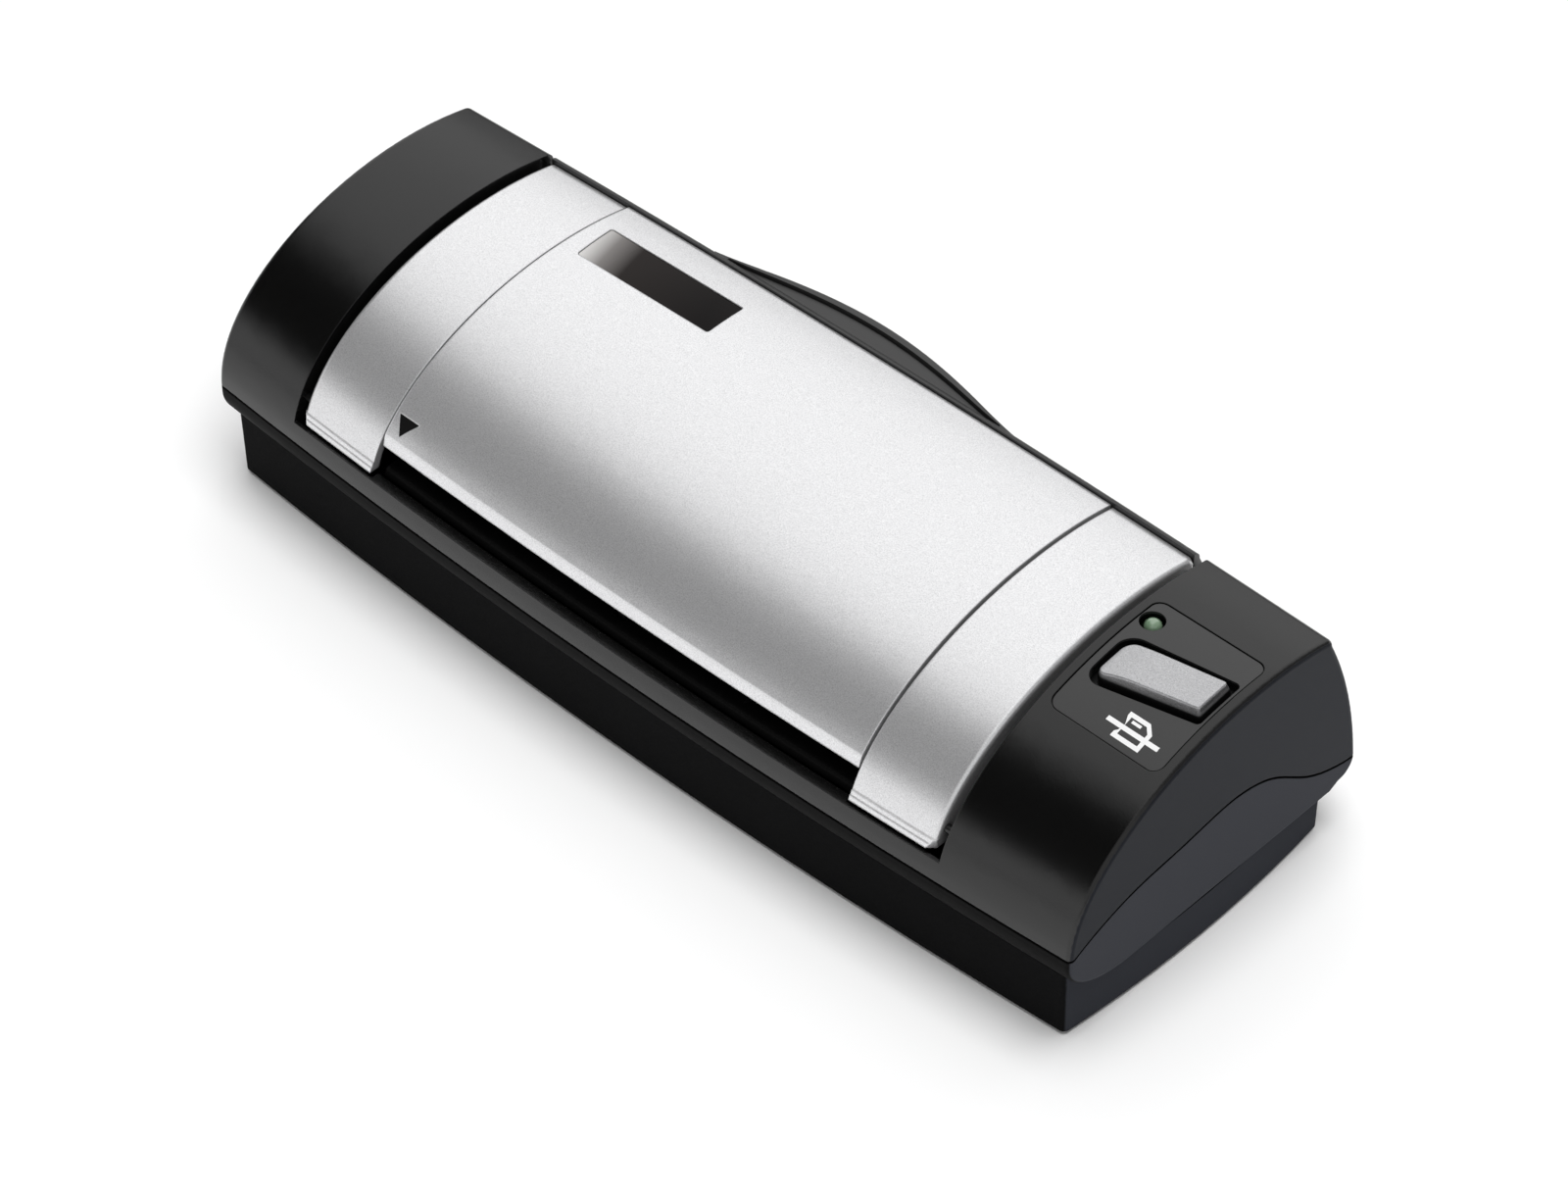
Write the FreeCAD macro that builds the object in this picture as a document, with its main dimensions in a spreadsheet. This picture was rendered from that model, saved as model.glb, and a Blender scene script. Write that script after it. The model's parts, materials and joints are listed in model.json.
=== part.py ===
import FreeCAD, Part
import math
import os
import re
import Sketcher

# Compact sheet-fed card scanner, lying on its rubber feet.
# X runs along the case with the button end at +X, the feed mouth faces -Y and +Z is up.
# The origin is under the middle of the case, on the surface that the feet stand on.

os.makedirs("parts", exist_ok=True)
doc = FreeCAD.newDocument("CardScanner")
Vector = FreeCAD.Vector
X_AXIS = Vector(1, 0, 0)
Y_AXIS = Vector(0, 1, 0)
Z_AXIS = Vector(0, 0, 1)

# ------------------------------------------------------------------ driving dimensions
SIZES = [
    # the case: one long hull whose cross-section is the same all along, bowed front and back
    ("half_length", 95.0),
    ("front_y", -33.4),
    ("front_bow", 3.4),
    ("back_bow", 1.75),
    ("crown_y", 9.9),
    ("crown_rise", 27.6),
    ("parting_z", 19.7),
    ("lip_low_z", 18.3),
    ("base_z", 9.3),
    ("belly_y", -19.1),
    ("wall", 2.0),
    ("lap", 1.1),
    ("seam", 0.5),
    ("edge_round", 0.9),
    # the skirt that the case stands on
    ("skirt_half", 93.0),
    ("skirt_front_y", -31.3),
    ("skirt_back_y", 29.6),
    ("skirt_bottom_z", 0.8),
    ("skirt_end_bow", 1.8),
    ("skirt_top_z", 20.0),
    ("skirt_flare", 0.5),
    ("floor_thick", 2.0),
    # the bay in the upper housing, and the cover that fills it
    ("bay_left", -75.2),
    ("bay_right", 69.5),
    ("ledge_z", 23.8),
    ("cover_left", -74.0),
    ("cover_right", 67.5),
    ("panel_left", -56.0),
    ("panel_right", 50.3),
    ("panel_gap", 0.5),
    ("skin_drop", 0.8),
    ("skin_thick", 1.6),
    ("skin_gap", 0.1),
    ("panel_proud", 0.3),
    ("side_wall", 1.2),
    ("side_round", 0.9),
    ("lip_z", 28.9),
    ("lip_crease_z", 30.9),
    ("lip_run", 0.5),
    ("foot_z", 24.4),
    ("silver_back_y", 24.6),
    # the hinge of the cover, in the feet on both sides of the mouth
    ("hinge_y", -30.6),
    ("hinge_z", 27.2),
    ("pin_radius", 0.75),
    ("fit", 0.05),
    # the paper path
    ("deck_z", 24.7),
    ("deck_thick", 1.6),
    ("guide_z", 26.1),
    ("guide_thick", 1.5),
    ("shaft_z", 20.3),
    ("feed_y", -22.6),
    ("exit_y", 20.6),
    ("shaft_radius", 1.5),
    ("tyre_radius", 5.0),
    ("tyre_width", 12.0),
    ("tyre_pitch", 28.0),
    ("tyre_first_x", -45.0),
    ("shaft_left", -74.3),
    ("shaft_right", 76.8),
    ("pinch_radius", 3.5),
    ("pinch_axle_radius", 1.0),
    ("pinch_gap", 0.15),
    ("pinch_left", -58.5),
    ("pinch_right", 52.8),
    # the two contact image sensors
    ("sensor_left", -58.0),
    ("sensor_right", 52.0),
    ("sensor_width", 13.0),
    ("sensor_height", 10.3),
    ("lower_sensor_y", -16.9),
    ("upper_sensor_y", -0.5),
    ("glass_thick", 1.5),
    ("glass_inset", 0.7),
    ("backing_thick", 0.7),
    # the gear train
    ("gear_module", 0.8),
    ("roller_teeth", 16),
    ("idler_teeth", 38),
    ("pinion_teeth", 8),
    ("gear_x", 73.0),
    ("gear_thick", 3.0),
    ("mesh_angle", 37.895),
    ("plate_x", 77.6),
    ("plate_thick", 1.2),
    ("motor_radius", 9.5),
    ("motor_length", 12.0),
    ("motor_shaft_radius", 1.0),
    # the bearing plates and their bushes
    ("left_plate_x", -73.5),
    ("right_plate_x", 66.5),
    ("bearing_thick", 1.5),
    ("bearing_top_z", 23.0),
    ("bush_radius", 2.2),
    # the control field on the button end
    ("control_x", 83.0),
    ("control_y", 0.0),
    ("control_tilt", 8.2),
    ("button_proud", 1.2),
    ("button_travel", 1.0),
    ("led_x", 73.4),
    ("led_y", 8.7),
    ("led_radius", 1.5),
    ("led_hole_radius", 2.1),
    ("board_thick", 1.2),
    # the paper flag
    ("flag_x", -2.9),
    ("flag_y", -29.1),
    ("flag_z", 18.8),
    ("flag_tip_z", 26.2),
    ("flag_thick", 1.4),
    # the main board in the left end
    ("main_board_x", -86.8),
    ("main_board_thick", 1.6),
    ("usb_z", 18.9),
    ("usb_height", 7.7),
    ("usb_width", 4.0),
    # feet and screws
    ("foot_radius", 4.5),
    ("foot_inlay", 0.6),
    ("screw_radius", 1.2),
    ("screw_head_radius", 2.4),
]

sheet = doc.addObject("Spreadsheet::Sheet", "Sizes")
for row, (name, number) in enumerate(SIZES, start=1):
    sheet.set("A%d" % row, str(number))
    sheet.setAlias("A%d" % row, name)
doc.recompute()
ALIASES = [name for name, number in SIZES]
ALIAS_PATTERN = re.compile(r"\b(" + "|".join(ALIASES) + r")\b")


def size(name):
    """The number in one cell of the sheet."""
    return float(getattr(sheet, name))


def expression(text):
    """An expression on the sheet's aliases, written out with the sheet's name."""
    return ALIAS_PATTERN.sub(r"Sizes.\1", str(text))


def number_of(text):
    """What an expression on the sheet's aliases comes to."""
    return float(sheet.evalExpression(str(text)))


def bind(item, prop, text):
    item.setExpression(prop, expression(text))


NODES = []


def node(item, label):
    """Marks a finished sub-part, whose label names its file."""
    item.Label = label
    NODES.append(item)
    return item


# ------------------------------------------------------------------ primitive helpers
def place(item, x, y, z):
    bind(item, "Placement.Base.x", x)
    bind(item, "Placement.Base.y", y)
    bind(item, "Placement.Base.z", z)
    return item


def block(x0, x1, y0, y1, z0, z1):
    """A box between two corners, each side an expression."""
    item = doc.addObject("Part::Box", "Block")
    bind(item, "Length", "(%s) - (%s)" % (x1, x0))
    bind(item, "Width", "(%s) - (%s)" % (y1, y0))
    bind(item, "Height", "(%s) - (%s)" % (z1, z0))
    return place(item, x0, y0, z0)


def rod(axis, x, y, z, radius, length):
    """A cylinder that starts at a point and runs along the axis."""
    item = doc.addObject("Part::Cylinder", "Rod")
    bind(item, "Radius", radius)
    bind(item, "Height", length)
    item.Placement = FreeCAD.Placement(Vector(), FreeCAD.Rotation(Z_AXIS, axis))
    return place(item, x, y, z)


def fuse(*items):
    item = doc.addObject("Part::MultiFuse", "Fuse")
    item.Shapes = list(items)
    return item


def cut(base, *tools):
    item = doc.addObject("Part::Cut", "Cut")
    item.Base = base
    item.Tool = tools[0] if len(tools) == 1 else fuse(*tools)
    return item


def several(*items):
    """Separate solids that share one node."""
    item = doc.addObject("Part::Compound", "Several")
    item.Links = list(items)
    return item


def fixed_shape(shape, name="Form"):
    """A curved form that the primitives can't make."""
    item = doc.addObject("Part::Feature", name)
    item.Shape = shape
    return item


# ------------------------------------------------------------------ sketch helpers
def origin_part(body, role):
    return [part for part in body.Origin.OriginFeatures if part.Role == role][0]


def sketch_on(body, plane):
    sketch = body.newObject("Sketcher::SketchObject", "Sketch")
    sketch.AttachmentSupport = [(origin_part(body, plane), "")]
    sketch.MapMode = "FlatFace"
    return sketch


def fix_point(sketch, geometry, point, u, v):
    """Ties one point of a sketch to two expressions."""
    for kind, text in (("DistanceX", u), ("DistanceY", v)):
        index = sketch.addConstraint(
            Sketcher.Constraint(kind, -1, 1, geometry, point, number_of(text)))
        sketch.setExpression("Constraints[%d]" % index, expression(text))


def draw_polygon(sketch, corners):
    numbers = [Vector(number_of(u), number_of(v), 0) for u, v in corners]
    first = sketch.GeometryCount
    count = len(corners)
    for k in range(count):
        sketch.addGeometry(Part.LineSegment(numbers[k], numbers[(k + 1) % count]), False)
    for k in range(count):
        following = first + (k + 1) % count
        sketch.addConstraint(Sketcher.Constraint("Coincident", first + k, 2, following, 1))
    for k, (u, v) in enumerate(corners):
        fix_point(sketch, first + k, 1, u, v)


def draw_circle(sketch, u, v, radius):
    centre = Vector(number_of(u), number_of(v), 0)
    circle = sketch.addGeometry(Part.Circle(centre, Z_AXIS, number_of(radius)), False)
    fix_point(sketch, circle, 3, u, v)
    index = sketch.addConstraint(Sketcher.Constraint("Radius", circle, number_of(radius)))
    sketch.setExpression("Constraints[%d]" % index, expression(radius))


def pad(body, sketch, length):
    feature = body.newObject("PartDesign::Pad", "Pad")
    feature.Profile = sketch
    bind(feature, "Length", length)
    sketch.Visibility = False
    return feature


def plate(plane, corners, thickness, holes=()):
    """A flat plate: an outline with round holes, padded to its thickness."""
    body = doc.addObject("PartDesign::Body", "Plate")
    sketch = sketch_on(body, plane)
    draw_polygon(sketch, corners)
    for u, v, radius in holes:
        draw_circle(sketch, u, v, radius)
    pad(body, sketch, thickness)
    return body


def turned(profile, plane="XZ_Plane", axis="X_Axis"):
    """A turned piece: half an outline, revolved about an axis of its body."""
    body = doc.addObject("PartDesign::Body", "Turned")
    sketch = sketch_on(body, plane)
    draw_polygon(sketch, profile)
    feature = body.newObject("PartDesign::Revolution", "Revolution")
    feature.Profile = sketch
    feature.ReferenceAxis = (origin_part(body, axis), [""])
    feature.Angle = 360
    return body


def gear(teeth, bore, phase):
    """A spur gear that lies along X: a disc with a bore, and one tooth patterned round it."""
    body = doc.addObject("PartDesign::Body", "Gear")
    pitch = "gear_module * %s / 2" % teeth
    disc = sketch_on(body, "YZ_Plane")
    draw_circle(disc, "0", "0", "%s - 1.15 * gear_module" % pitch)
    draw_circle(disc, "0", "0", bore)
    pad(body, disc, "gear_thick")
    tooth = sketch_on(body, "YZ_Plane")
    root_half = "0.78 * gear_module"
    middle_half = "0.60 * gear_module"
    tip_half = "0.28 * gear_module"
    root = "%s - 1.3 * gear_module" % pitch
    tip = "%s + 0.75 * gear_module" % pitch
    draw_polygon(tooth, [(root, "-" + root_half), (pitch, "-" + middle_half),
                         (tip, "-" + tip_half), (tip, tip_half),
                         (pitch, middle_half), (root, root_half)])
    one = pad(body, tooth, "gear_thick")
    pattern = body.newObject("PartDesign::PolarPattern", "Teeth")
    pattern.Originals = [one]
    pattern.Axis = (origin_part(body, "X_Axis"), [""])
    pattern.Angle = 360
    bind(pattern, "Occurrences", teeth)
    body.Tip = pattern
    body.Placement = FreeCAD.Placement(Vector(), FreeCAD.Rotation(X_AXIS, phase))
    return body


# ------------------------------------------------------------------ the hull
HALF = size("half_length")


def bow(x):
    """1 in the middle of the case, 0 at its ends."""
    return 1.0 - (x / HALF) ** 2


def front_line(x):
    return size("front_y") - size("front_bow") * bow(x)


def line(a, b):
    return Part.LineSegment(a, b).toShape()


def arc(a, b, c):
    return Part.Arc(a, b, c).toShape()


def hull_section(x, inset):
    """The closed cross-section of the case at x, shrunk by the inset on every side."""
    back = size("back_bow") * bow(x) - inset
    front = front_line(x) + inset
    crown = Vector(x, size("crown_y"), size("parting_z"))
    reach = size("crown_y") - front
    rise = size("crown_rise") - inset
    dome = Part.Ellipse(crown + Vector(0, reach, 0), crown + Vector(0, 0, rise), crown)
    ridge_angle = math.acos((24.9 + back - crown.y) / reach)
    ridge_start = dome.value(ridge_angle)
    ridge_middle = Vector(x, 25.8 + back, 45.1 - inset)
    ridge_end = Vector(x, 26.2 + back, 44.0 - inset)
    back_middle = Vector(x, 31.9 + back, 29.6)
    back_low = Vector(x, 35.05 + back, 14.1)
    heel_middle = Vector(x, 34.35 + back, 11.7 + 0.8 * inset)
    heel_end = Vector(x, 31.4 + back, 10.3 + inset)
    base_back = Vector(x, 29.4 + back, size("base_z") + inset)
    belly_centre = Vector(x, size("belly_y"), size("lip_low_z"))
    belly_reach = size("belly_y") - front
    belly_drop = size("lip_low_z") - size("base_z") - inset
    belly = Part.Ellipse(belly_centre + Vector(0, belly_reach, 0),
                         belly_centre + Vector(0, 0, belly_drop), belly_centre)
    base_front = Vector(x, size("belly_y"), size("base_z") + inset)
    lip_low = Vector(x, front, size("lip_low_z"))
    parting = Vector(x, front, size("parting_z"))
    return Part.Wire([
        line(lip_low, parting),
        Part.ArcOfEllipse(dome, ridge_angle, math.pi).toShape(),
        arc(ridge_start, ridge_middle, ridge_end),
        arc(ridge_end, back_middle, back_low),
        arc(back_low, heel_middle, heel_end),
        line(heel_end, base_back),
        line(base_back, base_front),
        Part.ArcOfEllipse(belly, math.pi, 1.5 * math.pi).toShape(),
    ])


HULLS = {}


def hull(inset):
    """The case as one solid, shrunk by the inset. Made once for each inset."""
    key = round(inset, 3)
    if key not in HULLS:
        end = HALF - inset
        stations = [-end, -end / 2, 0.0, end / 2, end]
        HULLS[key] = Part.makeLoft([hull_section(x, inset) for x in stations], True, False)
    return HULLS[key]


def room(x0, x1, y0, y1, z0, z1):
    """A plain box solid, for trimming the hull's shells."""
    return Part.makeBox(x1 - x0, y1 - y0, z1 - z0, Vector(x0, y0, z0))


FAR = 120.0
HIGH = 70.0


def prism_x(face_wire, x0, x1):
    """Extrudes an outline that lies in the plane x = 0."""
    face = Part.Face(face_wire)
    solid = face.extrude(Vector(x1 - x0, 0, 0))
    solid.translate(Vector(x0, 0, 0))
    return solid


SHOULDER = [(-32.3, 19.7), (-28.0, 21.7), (-18.5, 24.5), (-6.6, 25.8), (4.6, 26.9),
            (13.3, 24.6), (22.9, 17.9), (28.0, 15.5), (35.0, 13.9)]


def above_shoulder(lift):
    """All that lies above the S-shaped seam between the two housings."""
    curve = Part.BSplineCurve()
    curve.interpolate([Vector(0, y, z + lift) for y, z in SHOULDER])
    start = curve.value(curve.FirstParameter)
    finish = curve.value(curve.LastParameter)
    front = Vector(0, -FAR, start.z)
    back = Vector(0, FAR, finish.z)
    front_top = Vector(0, -FAR, HIGH)
    back_top = Vector(0, FAR, HIGH)
    outline = Part.Wire([line(front, start), curve.toShape(), line(finish, back),
                         line(back, back_top), line(back_top, front_top),
                         line(front_top, front)])
    return prism_x(outline, -FAR, FAR)


def below_shoulder(lift):
    return room(-FAR, FAR, -FAR, FAR, -5, HIGH).cut(above_shoulder(lift))


def behind(y, x0, x1, z0, z1):
    """All that lies behind a line bowed as the back of the case is."""
    def at(x):
        return Vector(x, y + size("back_bow") * bow(x), z0)
    middle = (x0 + x1) / 2
    left_far = Vector(x0, FAR, z0)
    right_far = Vector(x1, FAR, z0)
    outline = Part.Wire([arc(at(x0), at(middle), at(x1)), line(at(x1), right_far),
                         line(right_far, left_far), line(left_far, at(x0))])
    return Part.Face(outline).extrude(Vector(0, 0, z1 - z0))


def skirt_outline(z, grow):
    """The skirt in plan: four shallow arcs. Front and back lean out a little towards its top."""
    rise = (z - size("skirt_bottom_z")) / (size("skirt_top_z") - size("skirt_bottom_z"))
    lean = size("skirt_flare") * rise
    half = size("skirt_half") + grow
    front = size("skirt_front_y") - grow - lean
    back = size("skirt_back_y") + grow + lean
    middle = (front + back) / 2
    corners = [Vector(-half, front, z), Vector(half, front, z),
               Vector(half, back, z), Vector(-half, back, z)]
    bulges = [Vector(0, front - size("front_bow"), z),
              Vector(half + size("skirt_end_bow"), middle, z),
              Vector(0, back + size("back_bow"), z),
              Vector(-half - size("skirt_end_bow"), middle, z)]
    return Part.Wire([arc(corners[k], bulges[k], corners[(k + 1) % 4]) for k in range(4)])


def skirt_solid(z0, z1, grow):
    """The skirt's outer or inner form between two heights."""
    return Part.makeLoft([skirt_outline(z0, grow), skirt_outline(z1, grow)], True, True)


def upright_edges(shape, shortest):
    """The edges that stand nearly upright."""
    found = []
    for edge in shape.Edges:
        if edge.Length < shortest:
            continue
        ends = edge.Vertexes
        run = ends[-1].Point - ends[0].Point
        if abs(run.z) > 0.9 * edge.Length:
            found.append(edge)
    return found


def rounded_polygon(corners, radii, z):
    """A closed outline whose corners are rounded, each by its own radius."""
    points = [Vector(x, y, z) for x, y in corners]
    count = len(points)
    starts = []
    finishes = []
    middles = []
    for k in range(count):
        here = points[k]
        back = (points[k - 1] - here).normalize()
        ahead = (points[(k + 1) % count] - here).normalize()
        half_angle = back.getAngle(ahead) / 2
        reach = radii[k] / math.tan(half_angle)
        inward = (back + ahead).normalize()
        depth = radii[k] / math.sin(half_angle) - radii[k]
        starts.append(here + back * reach)
        finishes.append(here + ahead * reach)
        middles.append(here + inward * depth)
    edges = []
    for k in range(count):
        edges.append(arc(starts[k], middles[k], finishes[k]))
        edges.append(line(finishes[k], starts[(k + 1) % count]))
    return Part.Wire(edges)


def prism_z(outline, height):
    return Part.Face(outline).extrude(Vector(0, 0, height))


# ------------------------------------------------------------------ shared measures
WALL = size("wall")
LAP = size("lap")
BAY_LEFT = size("bay_left")
BAY_RIGHT = size("bay_right")
LEDGE = size("ledge_z")
COVER_LEFT = size("cover_left")
COVER_RIGHT = size("cover_right")
DROP = size("skin_drop")
INNER_SKIN = DROP + size("skin_thick")
TYRES = range(4)
POSTS = [(-66.0, -10.0), (-66.0, 12.0), (60.5, -10.0), (60.5, 12.0)]
BASE_SCREWS = [(-64.0, -25.0), (-64.0, 22.0), (58.0, -25.0), (58.0, 22.0)]
COVER_SCREWS = [(-66.0, -13.0), (-66.0, 16.0), (60.0, -13.0), (60.0, 16.0)]
FEET = [(-82.0, -24.0), (-82.0, 22.0), (82.0, -24.0), (82.0, 22.0)]
LATCH_X = (-69.0, 62.5)
FLOOR_TOP = "skirt_bottom_z + floor_thick"


def tyre_x(k):
    return "tyre_first_x + %d * tyre_pitch" % k


# the plane of the control field, and how things are set into it
CONTROL_HEIGHT = size("parting_z") + size("crown_rise") * math.sqrt(
    1 - ((size("crown_y") - size("control_y")) / (size("crown_y") - size("front_y"))) ** 2)
CONTROL_PLACE = FreeCAD.Placement(
    Vector(0, size("control_y"), CONTROL_HEIGHT),
    FreeCAD.Rotation(X_AXIS, size("control_tilt")))


def into_control_field(shape):
    """Moves a shape from the field's own flat frame onto the sloping end cap."""
    moved = shape.copy()
    moved.Placement = CONTROL_PLACE.multiply(moved.Placement)
    return moved


LABEL_CORNERS = [(71.0, -12.9), (92.9, -12.9), (92.9, 13.1), (71.0, 13.1)]
LABEL_RADIUS = 2.0
LABEL_THICK = 0.55
LABEL_SUNK = 0.12
WELL_CORNERS = [(72.4, -6.9), (92.3, -2.7), (92.3, 7.4), (72.4, 4.4)]
WELL_RADII = [2.4, 0.9, 0.9, 3.4]
WELL_LOW = -4.0
BUTTON_BASE = [(73.3, -5.3), (91.4, -1.5), (91.4, 6.1), (73.4, 3.2)]
BUTTON_TOP = [(73.8, -4.5), (90.9, -1.0), (91.1, 5.5), (74.1, 2.6)]
BUTTON_RADII = [1.5, 0.6, 0.6, 2.6]
BUTTON_TOP_RADII = [1.3, 0.5, 0.5, 2.3]
BUTTON_FLANGE = [(71.8, -7.4), (92.7, -3.2), (92.7, 7.9), (71.8, 4.9)]
BUTTON_FLANGE_LOW = -3.4
BUTTON_FLANGE_THICK = 0.75
BUTTON_SHOULDER = -1.0
BUTTON_CREST_X = 80.3
BUTTON_ROLL = 21.0
BOARD_TOP = -6.5


def shrunk(corners, gap):
    """The corners of an outline, each moved in towards its middle along X and along Y."""
    middle_x = sum(x for x, y in corners) / len(corners)
    middle_y = sum(y for x, y in corners) / len(corners)
    return [(x + math.copysign(gap, middle_x - x), y + math.copysign(gap, middle_y - y))
            for x, y in corners]


def control_openings():
    """The button well and the lamp hole, as solids that cut through the end cap."""
    well = prism_z(rounded_polygon(WELL_CORNERS, WELL_RADII, WELL_LOW), 10)
    lamp = Part.makeCylinder(size("led_hole_radius"), 10,
                             Vector(size("led_x"), size("led_y"), WELL_LOW))
    return into_control_field(well.fuse(lamp))


# ------------------------------------------------------------------ the case
def make_bottom_cover():
    bottom = size("skirt_bottom_z")
    outer = skirt_solid(bottom, size("skirt_top_z"), 0.0)
    outer = outer.makeFillet(1.2, upright_edges(outer, 10))
    floor_top = bottom + size("floor_thick")
    inner = skirt_solid(floor_top, 22.0, -WALL)
    shape = outer.cut(inner).cut(hull(0.0))
    for x, y in POSTS:
        top = size("deck_z") - size("deck_thick")
        shape = shape.fuse(Part.makeCylinder(2.5, top - bottom, Vector(x, y, bottom)))
    for x, y in BASE_SCREWS:
        shape = shape.fuse(Part.makeCylinder(3.2, 10.5 - bottom, Vector(x, y, bottom)))
        shape = shape.cut(Part.makeCylinder(2.6, 1.2, Vector(x, y, bottom)))
        shape = shape.cut(Part.makeCylinder(size("screw_radius"), 8.5, Vector(x, y, bottom)))
    for x, y in FEET:
        pocket = Part.makeCylinder(size("foot_radius"), size("foot_inlay"),
                                   Vector(x, y, bottom))
        shape = shape.cut(pocket)
    node(fixed_shape(shape.removeSplitter()), "bottom_cover")


def make_lower_housing():
    outer = ROUNDED_HULL.cut(hull(LAP)).common(below_shoulder(-size("seam") / 2))
    inner = hull(LAP).cut(hull(WALL)).common(below_shoulder(-1.2))
    shape = outer.fuse(inner)
    shape = shape.cut(skirt_solid(0.0, 17.0, -WALL))
    node(fixed_shape(shape.removeSplitter()), "lower_housing")


def usb_opening(grow, y0, y1):
    x0 = size("main_board_x") + size("main_board_thick")
    z = size("usb_z")
    half = size("usb_height") / 2 + grow
    return room(x0 - grow, x0 + size("usb_width") + grow, y0, y1, z - half, z + half)


def make_upper_housing():
    outer = ROUNDED_HULL.cut(hull(LAP)).common(above_shoulder(size("seam") / 2))
    inner = hull(LAP).cut(hull(WALL)).common(above_shoulder(-0.9))
    bay = room(BAY_LEFT, BAY_RIGHT, -FAR, FAR, LEDGE, HIGH)
    shape = outer.fuse(inner).cut(bay)
    wall_low = LEDGE - 0.6
    for x0, x1 in ((BAY_LEFT - 1.6, BAY_LEFT), (BAY_RIGHT, BAY_RIGHT + 1.6)):
        shape = shape.fuse(hull(LAP).common(room(x0, x1, -FAR, FAR, wall_low, HIGH)))
    # room behind the ledge for the feet of the cover as they swing down
    relief = hull(0.7)
    for x0, x1 in ((BAY_LEFT, size("panel_left")), (size("panel_right"), BAY_RIGHT)):
        shape = shape.cut(relief.common(room(x0 + 0.01, x1 - 0.01, -FAR, -27.0, 21.9, HIGH)))
    # the recess for the control label, the button well and the lamp hole
    label = prism_z(rounded_polygon(LABEL_CORNERS, [LABEL_RADIUS] * 4, LEDGE), HIGH)
    shape = shape.cut(label.cut(hull(LABEL_THICK))).cut(control_openings())
    shape = shape.cut(usb_opening(0.4, 20.0, 45.0))
    hinge = Part.makeCylinder(size("pin_radius") + size("fit"), BAY_RIGHT - BAY_LEFT + 3.4,
                              Vector(BAY_LEFT - 1.7, size("hinge_y"), size("hinge_z")), X_AXIS)
    shape = shape.cut(hinge)
    node(fixed_shape(shape.removeSplitter()), "upper_housing")


def make_control_label():
    gap = 0.2
    outline = rounded_polygon(shrunk(LABEL_CORNERS, gap), [LABEL_RADIUS - gap] * 4, LEDGE)
    shape = prism_z(outline, HIGH).common(hull(LABEL_SUNK)).cut(hull(LABEL_THICK))
    node(fixed_shape(shape.cut(control_openings())), "control_label")


def rounded_hull():
    """The outer form of the case, with its end faces' edges rounded."""
    shape = hull(0.0)
    edges = []
    for edge in shape.Edges:
        box = edge.BoundBox
        at_end = abs(abs(box.XMin) - HALF) < 0.01 and box.XLength < 0.01
        if at_end:
            edges.append(edge)
    return shape.makeFillet(size("edge_round"), edges)


ROUNDED_HULL = rounded_hull()


# ------------------------------------------------------------------ the cover
FOOT_BACK_Y = -27.0
FOOT_STEPS = ((26.1, 0.2), (25.3, 0.35))
HINGE_BLOCK = (4.5, -29.3, 29.4)


def edges_in_plane(shape, x):
    """The long front-to-back edges of a skin's outer face that lie in the plane of x."""
    found = []
    for edge in shape.Edges:
        box = edge.BoundBox
        in_plane = abs(box.XMin - x) < 0.01 and abs(box.XMax - x) < 0.01
        if in_plane and box.ZMax > 44 and box.YMin < -20:
            found.append(edge)
    return found


def slant_at(x, y, z):
    """An upright square bar turned by 45 degrees, to cut off a corner."""
    bar = Part.makeBox(4, 4, 6, Vector(-2, -2, 0))
    bar.rotate(Vector(), Z_AXIS, 45)
    bar.translate(Vector(x, y, z))
    return bar


def make_flange(label, outer_x, inner_x):
    """One silver flange of the cover: skin, side wall, foot and hinge block."""
    inward = math.copysign(1.0, inner_x - outer_x)
    wall_x = outer_x + inward * size("side_wall")
    foot = size("foot_z")
    x0, x1 = sorted((outer_x, inner_x))
    skin = hull(DROP).common(room(x0, x1, -FAR, FAR, foot, HIGH))
    skin = skin.cut(behind(size("silver_back_y"), x0 - 1, x1 + 1, 0, HIGH))
    skin = skin.makeFillet(size("side_round"), edges_in_plane(skin, outer_x))
    hollow_x = sorted((wall_x, inner_x + inward))
    skin = skin.cut(hull(INNER_SKIN).common(room(*hollow_x, -FAR, FAR, 0, HIGH)))
    # the foot ends in two low steps that stand a little proud
    for top, proud in FOOT_STEPS:
        step = hull(DROP - proud).common(room(x0, x1, -FAR, FOOT_BACK_Y, foot, top))
        skin = skin.fuse(step.cut(hull(INNER_SKIN)))
    # the hinge block fills the corner behind the skin and the side wall
    block_wide, block_back, block_top = HINGE_BLOCK
    block_x = sorted((outer_x, outer_x + inward * block_wide))
    block_room = room(*block_x, -FAR, block_back, foot, block_top)
    skin = skin.fuse(hull(DROP + size("side_round")).common(block_room))
    # the outer corner of the foot is cut off at a slant
    proudest = FOOT_STEPS[-1][1]
    skin = skin.cut(slant_at(outer_x, front_line(outer_x) + DROP - proudest - 0.9, foot - 1))
    # the side wall ends above the deck behind the foot
    wall_room = sorted((outer_x - inward, wall_x + inward * 0.01))
    skin = skin.cut(room(*wall_room, -28.4, FAR, 0, 27.4))
    bore_x = min(outer_x - inward, outer_x + inward * 6)
    skin = skin.cut(Part.makeCylinder(size("pin_radius"), 7,
                                      Vector(bore_x, size("hinge_y"), size("hinge_z")), X_AXIS))
    node(fixed_shape(skin.removeSplitter()), label)


def make_flanges():
    gap = size("panel_gap")
    make_flange("left_flange", COVER_LEFT, size("panel_left") - gap)
    make_flange("right_flange", COVER_RIGHT, size("panel_right") + gap)


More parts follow.
